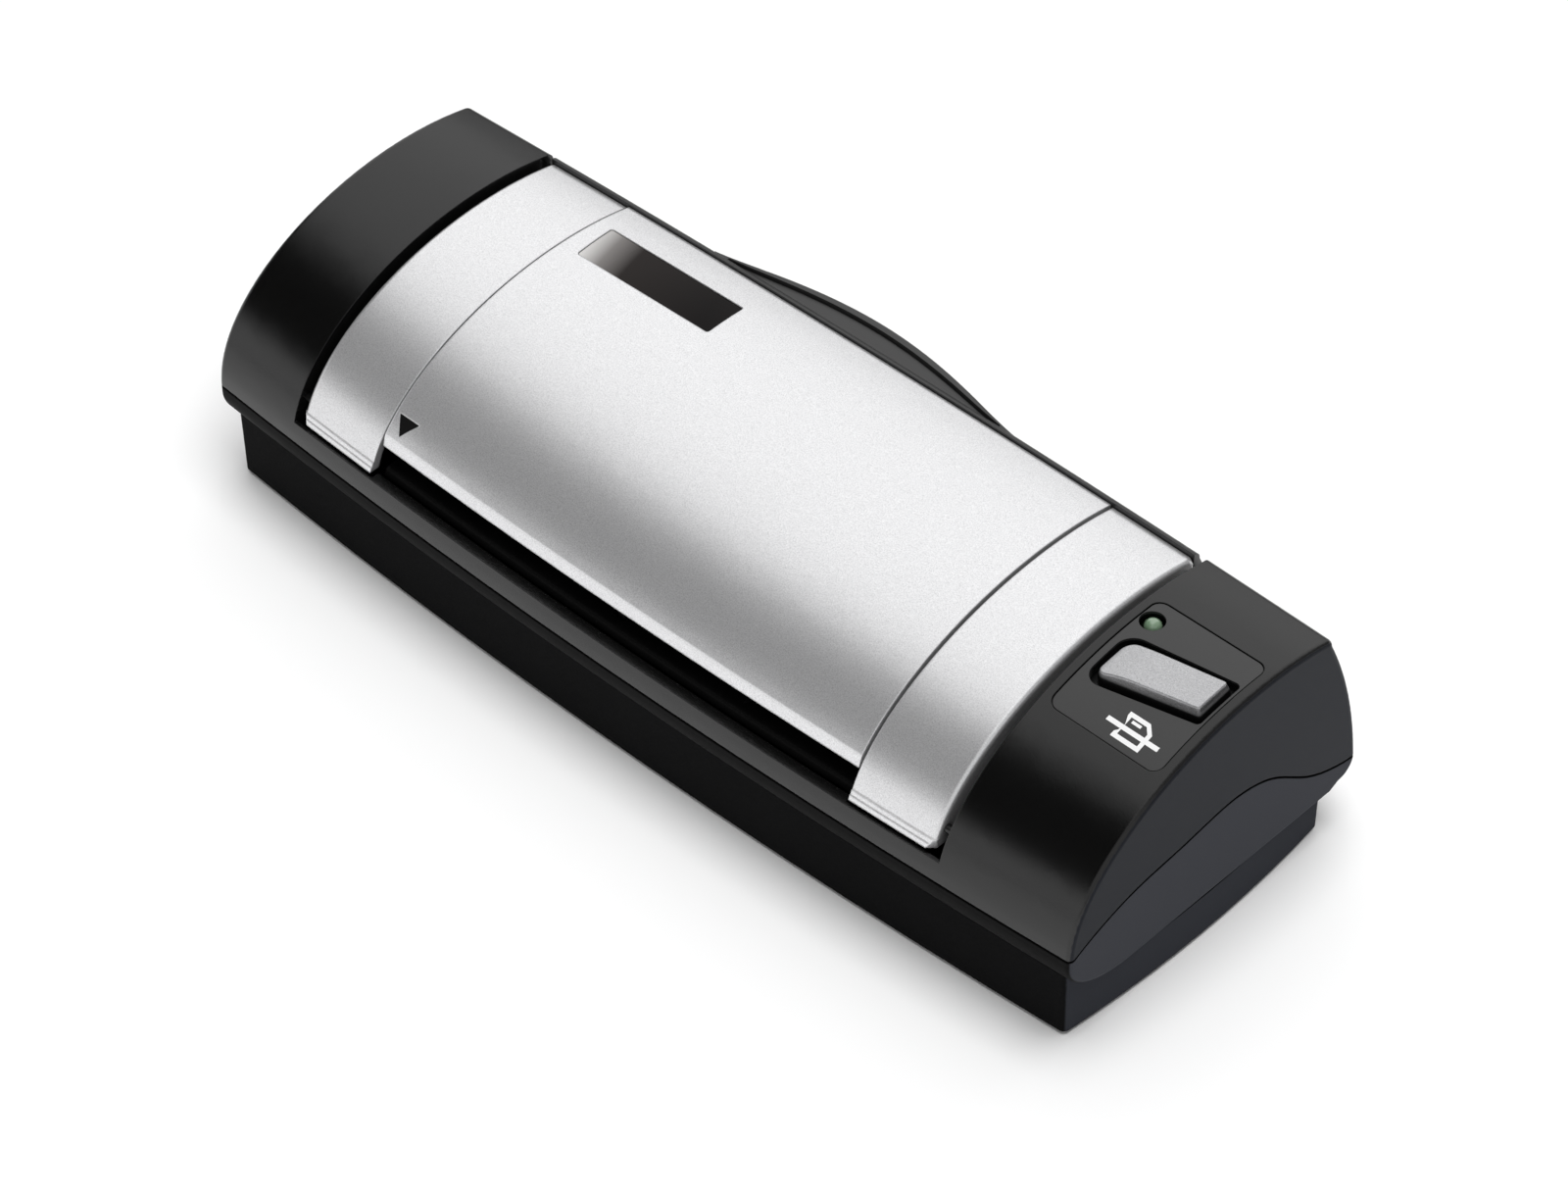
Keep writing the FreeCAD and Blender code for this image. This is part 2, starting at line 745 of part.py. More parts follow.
BADGE_CORNERS = [(-52.2, 9.9), (-22.7, 10.4), (-23.1, 19.3), (-53.0, 18.8)]
BADGE_THICK = 0.7
ARROW_THICK = 0.25
ARROW_CORNERS = [(-55.2, -28.1), (-50.6, -28.2), (-53.2, -30.5)]


def ahead_of_lip(x0, x1, surface):
    """All that lies in front of the steeper face that ends the panel over the mouth."""
    crease_z = size("lip_crease_z")
    low_z = size("lip_z") - 1.0
    soft = 0.35
    lean = size("lip_run") / (crease_z - size("lip_z"))
    sections = []
    for k in range(7):
        x = x0 + (x1 - x0) * k / 6

        def on_surface(z):
            reach = size("crown_y") - front_line(x) - surface
            slope = (z - size("parting_z")) / (size("crown_rise") - surface)
            return Vector(x, size("crown_y") - reach * math.sqrt(1 - slope ** 2), z)

        crease = on_surface(crease_z)
        upper = on_surface(crease_z + soft)
        lower = crease - Vector(0, lean, 1) * soft
        middle = (upper + lower) * 0.25 + crease * 0.5
        low = crease - Vector(0, lean, 1) * (crease_z - low_z)
        front = Vector(x, crease.y - 9, low_z)
        front_top = Vector(x, crease.y - 9, upper.z)
        sections.append(Part.Wire([arc(upper, middle, lower), line(lower, low),
                                   line(low, front), line(front, front_top),
                                   line(front_top, upper)]))
    return Part.makeLoft(sections, True, False)


def make_centre_panel():
    left = size("panel_left")
    right = size("panel_right")
    surface = DROP - size("panel_proud")
    back = behind(size("silver_back_y"), left - 1, right + 1, 0, HIGH)
    lip = size("lip_z")
    shape = hull(surface).common(room(left, right, -FAR, FAR, lip, HIGH)).cut(back)
    shape = shape.cut(hull(INNER_SKIN))
    uncut_volume = shape.Volume
    shape = shape.cut(ahead_of_lip(left - 1, right + 1, surface))
    if not 10 < uncut_volume - shape.Volume < 500:
        raise RuntimeError("the lip of the centre panel was not cut")
    badge = prism_z(rounded_polygon(BADGE_CORNERS, [0.5] * 4, 30), 30)
    shape = shape.cut(badge.cut(hull(surface + BADGE_THICK)))
    arrow = prism_z(rounded_polygon(ARROW_CORNERS, [0.05] * 3, 25), 30)
    shape = shape.cut(arrow.cut(hull(surface + ARROW_THICK)))
    node(fixed_shape(shape.removeSplitter()), "centre_panel")


def make_badge_and_arrow():
    surface = DROP - size("panel_proud")
    badge = prism_z(rounded_polygon(shrunk(BADGE_CORNERS, 0.1), [0.45] * 4, 30), 30)
    badge = badge.common(hull(surface + 0.2)).cut(hull(surface + BADGE_THICK))
    node(fixed_shape(badge), "badge_plate")
    arrow = prism_z(rounded_polygon(ARROW_CORNERS, [0.05] * 3, 25), 30)
    arrow = arrow.common(hull(surface)).cut(hull(surface + ARROW_THICK))
    node(fixed_shape(arrow), "alignment_arrow")


FRAME_LEFT = COVER_LEFT + 1.4
FRAME_RIGHT = COVER_RIGHT - 1.4
FRAME_INSET = INNER_SKIN + size("skin_gap")
FRAME_WALL = 1.5
BACK_LOW = 29.2
TRIM_FRONT_Y = size("silver_back_y") + 0.15
TRIM_LOW = 42.4
TAB_CENTRE = -4.5
TAB_HALF = 33.0
TAB_REACH = 5.4
TAB_LOW = 43.1
TAB_THICK = 2.1
TAB_RIM = 1.5
TAB_SUNK = 0.6
TAB_GROOVE = 0.4


def tab_solid(reach, half, low, height):
    """The finger tab in plan: straight along the trim, swelling out to the reach behind it."""
    root = 26.6
    edge_y = 27.6
    points = []
    for k in range(13):
        share = -1 + k / 6.0
        swell = (1 - share ** 2) ** 1.3
        points.append(Vector(TAB_CENTRE + half * share, edge_y + reach * swell, low))
    edge = Part.BSplineCurve()
    edge.interpolate(points)
    left_in = Vector(points[0].x, root, low)
    right_in = Vector(points[-1].x, root, low)
    outline = Part.Wire([edge.toShape(), line(points[-1], right_in),
                         line(right_in, left_in), line(left_in, points[0])])
    return Part.Face(outline).extrude(Vector(0, 0, height))


def make_rear_trim():
    trim = hull(0.0).cut(hull(INNER_SKIN)).common(
        behind(TRIM_FRONT_Y, COVER_LEFT, COVER_RIGHT, TRIM_LOW, HIGH))
    top = TAB_LOW + TAB_THICK
    tab = tab_solid(TAB_REACH, TAB_HALF, TAB_LOW, TAB_THICK)
    upper = []
    for edge in tab.Edges:
        box = edge.BoundBox
        if box.ZMin > top - 0.1 and box.YMax > 30 and box.XLength > 30:
            upper.append(edge)
    tab = tab.makeFillet(0.5, upper)
    # the top of the tab is sunk inside a rim, with a fine groove along the rim
    inner_reach = TAB_REACH - TAB_RIM
    inner_half = TAB_HALF - 2 * TAB_RIM
    groove_low = top - TAB_SUNK - TAB_GROOVE
    groove = tab_solid(inner_reach, inner_half, groove_low, 2)
    groove = groove.cut(tab_solid(inner_reach - TAB_GROOVE, inner_half - 3 * TAB_GROOVE,
                                  groove_low - 1, 4))
    tab = tab.cut(tab_solid(inner_reach, inner_half, top - TAB_SUNK, 2)).cut(groove)
    tab = tab.cut(hull(INNER_SKIN))
    node(fixed_shape(trim.fuse(tab).removeSplitter()), "rear_trim")


def make_cover_frame():
    outer = hull(FRAME_INSET).common(room(FRAME_LEFT, FRAME_RIGHT, -FAR, FAR, 27.8, HIGH))
    core = hull(FRAME_INSET + FRAME_WALL)
    core = core.common(room(FRAME_LEFT + FRAME_WALL, FRAME_RIGHT - FRAME_WALL, -FAR, FAR, 0, HIGH))
    shell = outer.cut(core)
    # open above the mouth in front and above the exit behind
    shell = shell.cut(room(-FAR, FAR, -FAR, -22.0, 0, 30.5))
    shell = shell.cut(room(-FAR, FAR, 22.0, FAR, 0, BACK_LOW))
    back = hull(0.3).cut(hull(FRAME_INSET))
    back = back.common(behind(TRIM_FRONT_Y, COVER_LEFT, COVER_RIGHT, BACK_LOW, TRIM_LOW - 0.2))
    shape = shell.fuse(back)
    guide_top = size("guide_z") + size("guide_thick")
    for x, y in COVER_SCREWS:
        boss = Part.makeCylinder(2.4, 22, Vector(x, y, guide_top + 0.02))
        shape = shape.fuse(boss.common(hull(FRAME_INSET + 0.8)))
        shape = shape.cut(Part.makeCylinder(size("screw_radius"), 8, Vector(x, y, guide_top)))
    node(fixed_shape(shape.removeSplitter()), "cover_frame")


def make_upper_guide():
    low = size("guide_z")
    top = low + size("guide_thick")
    main = room(FRAME_LEFT + 0.8, FRAME_RIGHT - 0.8, -25.5, FAR, low, top)
    main = main.common(hull(INNER_SKIN + 1.9))
    stations = [-55.8, -28.0, 0.0, 25.0, 50.1]
    ramps = []
    for x in stations:
        shift = -size("front_bow") * bow(x)
        profile = [(-27.5, 29.0), (-25.2, low), (-22.5, low), (-22.5, top), (-24.5, top),
                   (-26.4, 29.9)]
        points = [Vector(x, y + shift, z) for y, z in profile[:2]]
        points.append(Vector(x, profile[2][0], low))
        points.append(Vector(x, profile[3][0], top))
        points += [Vector(x, y + shift, z) for y, z in profile[4:]]
        points.append(points[0])
        ramps.append(Part.makePolygon(points))
    shape = main.fuse(Part.makeLoft(ramps, True, True))
    # windows for the pinch rollers, the sensor glass and the white strip
    half_window = 3.8
    for y in (size("feed_y"), size("exit_y")):
        for k in TYRES:
            x = number_of(tyre_x(k))
            half = size("tyre_width") / 2 + 0.8
            shape = shape.cut(room(x - half, x + half, y - half_window, y + half_window,
                                   low - 1, top + 1))
    inset = size("glass_inset")
    left = size("sensor_left") + inset
    right = size("sensor_right") - inset
    y = size("upper_sensor_y")
    shape = shape.cut(room(left, right, y + inset, y + size("sensor_width") - inset,
                           low - 1, top + 1))
    y = size("lower_sensor_y")
    shape = shape.cut(room(left, right, y + inset, y + size("sensor_width") - inset,
                           low - 1, low + size("backing_thick")))
    # a slot for the tip of the paper flag
    flag = size("flag_x")
    shape = shape.cut(room(flag - 1.6, flag + 1.6, -31.2, -24.0, low - 1, 29.3))
    for x, y in COVER_SCREWS:
        shape = shape.cut(Part.makeCylinder(size("screw_radius"), 9, Vector(x, y, low - 1)))
        sink = Part.makeCylinder(size("screw_head_radius") + 0.1, 0.9, Vector(x, y, low - 0.1))
        shape = shape.cut(sink)
    node(fixed_shape(shape.removeSplitter()), "upper_guide")


# ------------------------------------------------------------------ the deck
def make_paper_deck():
    top = size("deck_z")
    low = top - size("deck_thick")
    shape = hull(3.0).common(room(BAY_LEFT + 0.3, BAY_RIGHT - 0.3, -FAR, FAR, low, top))
    front_edges = []
    for edge in shape.Edges:
        box = edge.BoundBox
        if box.ZMin > top - 0.01 and box.YMax < -28 and box.XLength > 100:
            front_edges.append(edge)
    shape = shape.makeFillet(0.7, front_edges)
    # corners kept free for the feet of the cover
    foot_edge = -27.0
    shape = shape.cut(room(-FAR, size("panel_left") + 0.6, -FAR, foot_edge, 0, HIGH))
    shape = shape.cut(room(size("panel_right") - 0.6, FAR, -FAR, foot_edge, 0, HIGH))
    half_window = 5.0
    for y in (size("feed_y"), size("exit_y")):
        for k in TYRES:
            x = number_of(tyre_x(k))
            half = size("tyre_width") / 2 + 0.7
            shape = shape.cut(room(x - half, x + half, y - half_window, y + half_window, 0, HIGH))
    inset = size("glass_inset")
    left = size("sensor_left") + inset
    right = size("sensor_right") - inset
    y = size("lower_sensor_y")
    shape = shape.cut(room(left, right, y + inset, y + size("sensor_width") - inset, 0, HIGH))
    y = size("upper_sensor_y")
    shape = shape.cut(room(left, right, y + inset, y + size("sensor_width") - inset,
                           top - size("backing_thick"), HIGH))
    flag = size("flag_x")
    shape = shape.cut(room(flag - 1.4, flag + 1.4, -30.6, -24.0, 0, HIGH))
    # notches for the latch hooks
    for x in LATCH_X:
        shape = shape.cut(room(x - 2.4, x + 2.4, 22.9, 27.7, 0, HIGH))
    node(fixed_shape(shape.removeSplitter()), "paper_deck")


# ------------------------------------------------------------------ sensors
def make_sensors():
    low = "sensor_left"
    high = "sensor_right"
    deck_low = "deck_z - deck_thick"
    guide_top = "guide_z + guide_thick"

    def sensor(label, y, z0, z1, glass_z0, glass_z1):
        body = block(low, high, y, y + " + sensor_width", z0, z1)
        groove = block(low + " + 6", high + " - 6", y + " + 4", y + " + sensor_width - 4",
                       "(%s + %s) / 2 - 1" % (z0, z1), "(%s + %s) / 2 + 1" % (z0, z1))
        node(cut(body, groove), label)
        edge = "(glass_inset + 0.1)"
        glass = block(low + " + " + edge, high + " - " + edge, y + " + " + edge,
                      y + " + sensor_width - " + edge, glass_z0, glass_z1)
        node(glass, label + "_glass")

    sensor("lower_sensor", "lower_sensor_y", deck_low + " - sensor_height", deck_low,
           deck_low, "deck_z - 0.1")
    sensor("upper_sensor", "upper_sensor_y", guide_top, guide_top + " + sensor_height",
           "guide_z + 0.1", guide_top)

    def backing(label, y, z0, z1):
        edge = "(glass_inset + 0.1)"
        strip = block(low + " + " + edge, high + " - " + edge, y + " + " + edge,
                      y + " + sensor_width - " + edge, z0, z1)
        node(strip, label)

    backing("lower_backing", "upper_sensor_y", "deck_z - backing_thick", "deck_z - 0.05")
    backing("upper_backing", "lower_sensor_y", "guide_z + 0.05", "guide_z + backing_thick")


# ------------------------------------------------------------------ rollers and gears
def make_roller(name, y, gear_phase):
    shaft = turned([("shaft_left", "0"), ("shaft_right", "0"), ("shaft_right", "shaft_radius - 0.3"),
                    ("shaft_right - 0.3", "shaft_radius"), ("shaft_left + 0.3", "shaft_radius"),
                    ("shaft_left", "shaft_radius - 0.3")])
    place(shaft, "0", y, "shaft_z")
    node(shaft, name + "_shaft")
    rings = []
    for k in TYRES:
        left = "-tyre_width / 2"
        right = "tyre_width / 2"
        ring = turned([(left, "shaft_radius"), (right, "shaft_radius"),
                       (right, "tyre_radius - 0.4"), (right + " - 0.4", "tyre_radius"),
                       (left + " + 0.4", "tyre_radius"), (left, "tyre_radius - 0.4")])
        place(ring, tyre_x(k), y, "shaft_z")
        rings.append(ring)
    node(several(*rings), name + "_tyres")
    wheel = gear("roller_teeth", "shaft_radius", gear_phase)
    place(wheel, "gear_x", y, "shaft_z")
    node(wheel, name + "_gear")


IDLER_Y = "feed_y + gear_module * (roller_teeth + idler_teeth) / 2"
MESH = "gear_module * (idler_teeth + pinion_teeth) / 2"
MOTOR_Y = IDLER_Y + " + " + MESH + " * cos(mesh_angle * 1deg)"
MOTOR_Z = "shaft_z + " + MESH + " * sin(mesh_angle * 1deg)"


def make_gears():
    half_pitch = 180.0 / size("idler_teeth")
    idler = gear("idler_teeth", "2 + fit", half_pitch)
    place(idler, "gear_x", IDLER_Y, "shaft_z")
    node(idler, "idler_gear")
    pinion = gear("pinion_teeth", "motor_shaft_radius", 180 + size("mesh_angle"))
    place(pinion, "gear_x", MOTOR_Y, MOTOR_Z)
    node(pinion, "motor_pinion")
    pin = turned([("0", "0"), ("5", "0"), ("5", "2"), ("0.6", "2"), ("0.6", "3"), ("0", "3")])
    place(pin, "gear_x - 0.7", IDLER_Y, "shaft_z")
    node(pin, "idler_pin")


def make_gear_plate():
    corners = [("-11", FLOOR_TOP), ("23", FLOOR_TOP), ("25", "37"), ("17", "41"), ("9", "39"),
               ("-11", "31")]
    holes = [(MOTOR_Y, MOTOR_Z, "2.6"),
             (MOTOR_Y + " - 7.4", MOTOR_Z + " - 4.4", "0.9"),
             (MOTOR_Y + " + 7.4", MOTOR_Z + " + 4.4", "0.9")]
    sheet_metal = plate("YZ_Plane", corners, "plate_thick", holes)
    place(sheet_metal, "plate_x", "0", "0")
    pin_hole = rod(X_AXIS, "plate_x - 1", IDLER_Y, "shaft_z", "2", "4")
    foot = block("plate_x + plate_thick", "plate_x + 8", "-9", "21", FLOOR_TOP,
                 FLOOR_TOP + " + 1.2")
    ear = fuse(sheet_metal, foot)
    node(cut(ear, pin_hole), "gear_plate")


def make_motor():
    can = turned([("0", "0"), ("motor_length", "0"), ("motor_length", "motor_radius - 1"),
                  ("motor_length - 1", "motor_radius"), ("0.5", "motor_radius"),
                  ("0", "motor_radius - 0.5")])
    place(can, "plate_x + plate_thick", MOTOR_Y, MOTOR_Z)
    nose = rod(X_AXIS, "plate_x", MOTOR_Y, MOTOR_Z, "2.5", "plate_thick")
    bore = rod(X_AXIS, "plate_x - 1", MOTOR_Y, MOTOR_Z, "motor_shaft_radius + fit", "9")
    plug = block("plate_x + plate_thick + 3", "plate_x + plate_thick + 9", MOTOR_Y + " - 3",
                 MOTOR_Y + " + 3", MOTOR_Z + " - motor_radius - 2", MOTOR_Z + " - motor_radius + 1")
    node(cut(fuse(can, nose, plug), bore), "stepper_motor")
    shaft = rod(X_AXIS, "gear_x - 0.4", MOTOR_Y, MOTOR_Z, "motor_shaft_radius",
                "plate_x - gear_x + 7")
    node(shaft, "motor_shaft")
    screws = []
    for sign in ("-", "+"):
        y = MOTOR_Y + " %s 7.4" % sign
        z = MOTOR_Z + " %s 4.4" % sign
        head = rod(X_AXIS, "plate_x - 0.9", y, z, "1.6", "0.9")
        shank = rod(X_AXIS, "plate_x", y, z, "0.85", "plate_thick")
        screws.append(fuse(head, shank))
    node(several(*screws), "motor_screws")


def make_bearing_plates():
    corners = [("-27", FLOOR_TOP), ("26", FLOOR_TOP), ("26", "bearing_top_z"), ("16", "bearing_top_z"),
               ("13", "17"), ("-15", "17"), ("-18", "bearing_top_z"), ("-27", "bearing_top_z")]
    holes = [("feed_y", "shaft_z", "bush_radius"), ("exit_y", "shaft_z", "bush_radius")]
    for label, x in (("left_bearing_plate", "left_plate_x"),
                     ("right_bearing_plate", "right_plate_x")):
        item = plate("YZ_Plane", corners, "bearing_thick", holes)
        place(item, x, "0", "0")
        node(item, label)
    bushes = []
    for x in ("left_plate_x", "right_plate_x"):
        for y in ("feed_y", "exit_y"):
            inner = "shaft_radius + fit"
            bush = turned([("-0.8", inner), ("bearing_thick + 0.4", inner),
                           ("bearing_thick + 0.4", "bush_radius"), ("0", "bush_radius"),
                           ("0", "bush_radius + 0.4"), ("-0.8", "bush_radius + 0.4")])
            place(bush, x, y, "shaft_z")
            bushes.append(bush)
    node(several(*bushes), "shaft_bushes")


PINCH_Z = "shaft_z + tyre_radius + pinch_gap + pinch_radius"


def make_pinch_rollers():
    guide_top = "guide_z + guide_thick"
    carriers = []
    springs = []
    for name, y in (("front_pinch", "feed_y"), ("rear_pinch", "exit_y")):
        axle = rod(X_AXIS, "pinch_left", y, PINCH_Z, "pinch_axle_radius",
                   "pinch_right - pinch_left")
        node(axle, name + "_axle")
        rollers = []
        for k in TYRES:
            left = "-tyre_width / 2 + 1"
            right = "tyre_width / 2 - 1"
            ring = turned([(left, "pinch_axle_radius"), (right, "pinch_axle_radius"),
                           (right, "pinch_radius - 0.3"), (right + " - 0.3", "pinch_radius"),
                           (left + " + 0.3", "pinch_radius"), (left, "pinch_radius - 0.3")])
            place(ring, tyre_x(k), y, PINCH_Z)
            rollers.append(ring)
        node(several(*rollers), name + "_rollers")
        for x0, x1 in (("pinch_left - 0.5", "pinch_left + 3"),
                       ("pinch_right - 3", "pinch_right + 0.5")):
            cheek = block(x0, x1, y + " - 2.4", y + " + 2.4", guide_top, PINCH_Z + " + 2.2")
            bore = rod(X_AXIS, x0 + " - 1", y, PINCH_Z, "pinch_axle_radius + fit", "6")
            carriers.append(cut(cheek, bore))
        for x0, x1 in (("pinch_left + 3", "pinch_left + 4.6"),
                       ("pinch_right - 4.6", "pinch_right - 3")):
            leaf = block(x0, x1, y + " - 2.2", y + " + 4.6",
                         PINCH_Z + " + 1.15", PINCH_Z + " + 1.45")
            leg = block(x0, x1, y + " + 4.3", y + " + 4.6", guide_top, PINCH_Z + " + 1.2")
            springs.append(fuse(leaf, leg))
    node(several(*carriers), "pinch_carriers")
    node(several(*springs), "pinch_springs")


# ------------------------------------------------------------------ hinge and latch
def make_hinge_and_latch():
    pins = [rod(X_AXIS, "bay_left - 1.5", "hinge_y", "hinge_z", "pin_radius", "6.5"),
            rod(X_AXIS, "bay_right + 1.5 - 7.2", "hinge_y", "hinge_z", "pin_radius", "7.2")]
    node(several(*pins), "hinge_pins")
    hooks = []
    catches = []
    for x in LATCH_X:
        left = "%s - 1.6" % x
        right = "%s + 1.6" % x
        arm = block(left, right, "24.1", "25.7", "19.4", "guide_z")
        bump = rod(X_AXIS, left, "25.7", "20.4", "0.5", "3.2")
        hooks.append(fuse(arm, bump))
        catch = block(left, right, "26.7", "28.2", FLOOR_TOP, "21.6")
        foot = block(left, right, "23.7", "26.7", FLOOR_TOP, FLOOR_TOP + " + 1.2")
        catches.append(fuse(catch, foot))
    node(several(*hooks), "latch_hooks")
    node(several(*catches), "latch_catches")


# ------------------------------------------------------------------ button, lamp and boards
def make_button():
    proud = size("button_proud")
    low = BUTTON_FLANGE_LOW + BUTTON_FLANGE_THICK
    stem = prism_z(rounded_polygon(BUTTON_BASE, BUTTON_RADII, low), BUTTON_SHOULDER - low)
    shoulder = rounded_polygon(BUTTON_BASE, BUTTON_RADII, BUTTON_SHOULDER)
    top = rounded_polygon(BUTTON_TOP, BUTTON_TOP_RADII, proud)
    shape = stem.fuse(Part.makeLoft([shoulder, top], True, True))
    # left of its crest the top rolls away towards the cover
    fall = Part.makeBox(12, 20, 6, Vector(BUTTON_CREST_X - 12, -10, proud - 3))
    roll = Part.makeCylinder(BUTTON_ROLL, 24, Vector(BUTTON_CREST_X, -12, proud - BUTTON_ROLL),
                             Y_AXIS)
    shape = shape.cut(fall.cut(roll))
    upper = []
    for edge in shape.Edges:
        box = edge.BoundBox
        if box.ZMin > proud - 1.2 and box.XLength > 0.01:
            upper.append(edge)
    shape = shape.makeFillet(0.25, upper)
    flange = prism_z(rounded_polygon(BUTTON_FLANGE, [1.8] * 4, BUTTON_FLANGE_LOW),
                     BUTTON_FLANGE_THICK)
    shape = shape.fuse(flange).removeSplitter()
    node(fixed_shape(into_control_field(shape)), "scan_button")


def make_control_parts():
    thick = size("board_thick")
    # narrower at the back, where the motor is close below
    board = Part.makeBox(20.0, 15.4, thick, Vector(71.5, -8.0, BOARD_TOP - thick))
    tongue = Part.makeBox(5.7, 3.4, thick, Vector(71.5, 7.4, BOARD_TOP - thick))
    board = board.fuse(tongue).removeSplitter()
    node(fixed_shape(into_control_field(board)), "button_board")
    middle = Vector(size("control_x"), 0.5, BOARD_TOP)
    switch = Part.makeBox(6, 6, 1.7, middle - Vector(3, 3, 0))
    plunger = Part.makeCylinder(1.6, 2.0 - 0.02, middle)
    node(fixed_shape(into_control_field(switch.fuse(plunger).removeSplitter())), "tact_switch")
    radius = size("led_radius")
    foot = Vector(size("led_x"), size("led_y"), BOARD_TOP)
    flange = Part.makeCylinder(radius + 0.35, 0.8, foot)
    stem = Part.makeCylinder(radius, 4.4, foot)
    dome = Part.makeSphere(radius, foot + Vector(0, 0, 4.4))
    lamp = flange.fuse([stem, dome]).removeSplitter()
    node(fixed_shape(into_control_field(lamp)), "indicator_lamp")


def make_main_board():
    face = "main_board_x + main_board_thick"
    corners = [("-19", "6"), ("27", "6"), ("27", "30"), ("20", "36"), ("-8", "36"), ("-19", "28")]
    holes = [("-15", "10", "1.4"), ("22", "10", "1.4")]
    board = plate("YZ_Plane", corners, "main_board_thick", holes)
    place(board, "main_board_x", "0", "0")
    node(board, "main_board")
    chips = [block(face, face + " + 1.2", "-4", "6", "17", "27"),
             block(face, face + " + 1.0", "10", "16", "22", "30"),
             block(face, face + " + 2.6", "-14", "-9", "16", "20"),
             block(face, face + " + 1.6", "-8", "2", "8", "12"),
             block(face, face + " + 2.2", "8", "20", "8", "13")]
    node(several(*chips), "board_chips")
    low = "usb_z - usb_height / 2"
    high = "usb_z + usb_height / 2"
    shell = block(face, face + " + usb_width", "26", "34.1", low, high)
    mouth = block(face + " + 0.4", face + " + usb_width - 0.4", "28", "36",
                  low + " + 0.4", high + " - 0.4")
    tongue = block(face + " + 1.5", face + " + 2.5", "27", "33.2",
                   low + " + 1.4", high + " - 1.4")
    node(fuse(cut(shell, mouth), tongue), "usb_socket")
    posts = []
    for y in ("-12", "18"):
        posts.append(block("main_board_x - 1.6", "main_board_x", y + " - 2", y + " + 2",
                           FLOOR_TOP, "8"))
    node(several(*posts), "board_clips")


# ------------------------------------------------------------------ paper flag
def make_flag():
    half = "flag_thick / 2"
    hub = rod(X_AXIS, "flag_x - " + half, "flag_y", "flag_z", "1.8", "flag_thick")
    arm = block("flag_x - " + half, "flag_x + " + half, "flag_y - 0.7", "flag_y + 0.7", "flag_z",
                "flag_tip_z - 0.7")
    tip = rod(X_AXIS, "flag_x - " + half, "flag_y", "flag_tip_z - 0.7", "0.7", "flag_thick")
    tail = block("flag_x - " + half, "flag_x + " + half, "flag_y - 1", "flag_y + 1",
                 "flag_z - 4.3", "flag_z")
    bore = rod(X_AXIS, "flag_x - 2", "flag_y", "flag_z", "pin_radius + fit", "4")
    node(cut(fuse(hub, arm, tip, tail), bore), "paper_flag")
    cheeks = []
    for x0, x1 in (("flag_x - 3", "flag_x - 2"), ("flag_x + 2", "flag_x + 3")):
        cheek = block(x0, x1, "flag_y - 2.2", "flag_y + 2.6", "flag_z - 8.2",
                      "deck_z - deck_thick")
        hole = rod(X_AXIS, x0 + " - 1", "flag_y", "flag_z", "pin_radius", "4")
        cheeks.append(cut(cheek, hole))
    bridge = block("flag_x - 2", "flag_x + 2", "flag_y - 2.2", "flag_y + 2.6",
                   "flag_z - 8.2", "flag_z - 7.4")
    node(fuse(cheeks[0], cheeks[1], bridge), "flag_bracket")
    node(rod(X_AXIS, "flag_x - 3", "flag_y", "flag_z", "pin_radius", "6"), "flag_pin")
    sensor_y = ("flag_y - 2", "flag_y + 2.4")
    base = block("flag_x - 2", "flag_x + 2", *sensor_y, "flag_z - 7.4", "flag_z - 5")
    left_arm = block("flag_x - 2", "flag_x - 1.1", *sensor_y, "flag_z - 5", "flag_z - 2.4")
    right_arm = block("flag_x + 1.1", "flag_x + 2", *sensor_y, "flag_z - 5", "flag_z - 2.4")
    node(fuse(base, left_arm, right_arm), "photo_sensor")


# ------------------------------------------------------------------ feet and screws
def make_feet_and_screws():
    pads = []
    for x, y in FEET:
        height = "skirt_bottom_z + foot_inlay"
        foot = turned([("0", "0"), ("foot_radius - 0.4", "0"), ("foot_radius", "0.4"),
                       ("foot_radius", height), ("0", height)], "XZ_Plane", "Z_Axis")
        place(foot, str(x), str(y), "0")
        pads.append(foot)
    node(several(*pads), "rubber_feet")
    screws = []
    for x, y in BASE_SCREWS:
        head = rod(Z_AXIS, str(x), str(y), "skirt_bottom_z + 0.2", "screw_head_radius", "1.0")
        shank = rod(Z_AXIS, str(x), str(y), "skirt_bottom_z + 1.2", "screw_radius - 0.05", "7")
        cross = block("%s - 1.4" % x, "%s + 1.4" % x, "%s - 0.3" % y, "%s + 0.3" % y,
                      "skirt_bottom_z", "skirt_bottom_z + 0.8")
        screws.append(cut(fuse(head, shank), cross))
    node(several(*screws), "base_screws")
    screws = []
    for x, y in COVER_SCREWS:
        head = rod(Z_AXIS, str(x), str(y), "guide_z + 0.05", "screw_head_radius", "0.75")
        shank = rod(Z_AXIS, str(x), str(y), "guide_z + 0.8", "screw_radius - 0.05", "8")
        screws.append(fuse(head, shank))
    node(several(*screws), "cover_screws")


make_bottom_cover()
make_lower_housing()
make_upper_housing()
make_control_label()
make_flanges()
make_centre_panel()
make_badge_and_arrow()
make_rear_trim()
make_cover_frame()
make_upper_guide()
make_paper_deck()
make_sensors()
make_roller("feed", "feed_y", 0)
make_roller("exit", "exit_y", 180)
make_gears()
make_gear_plate()
make_motor()
make_bearing_plates()
make_pinch_rollers()
make_hinge_and_latch()
make_button()
make_control_parts()
make_main_board()
make_flag()
make_feet_and_screws()
doc.recompute()

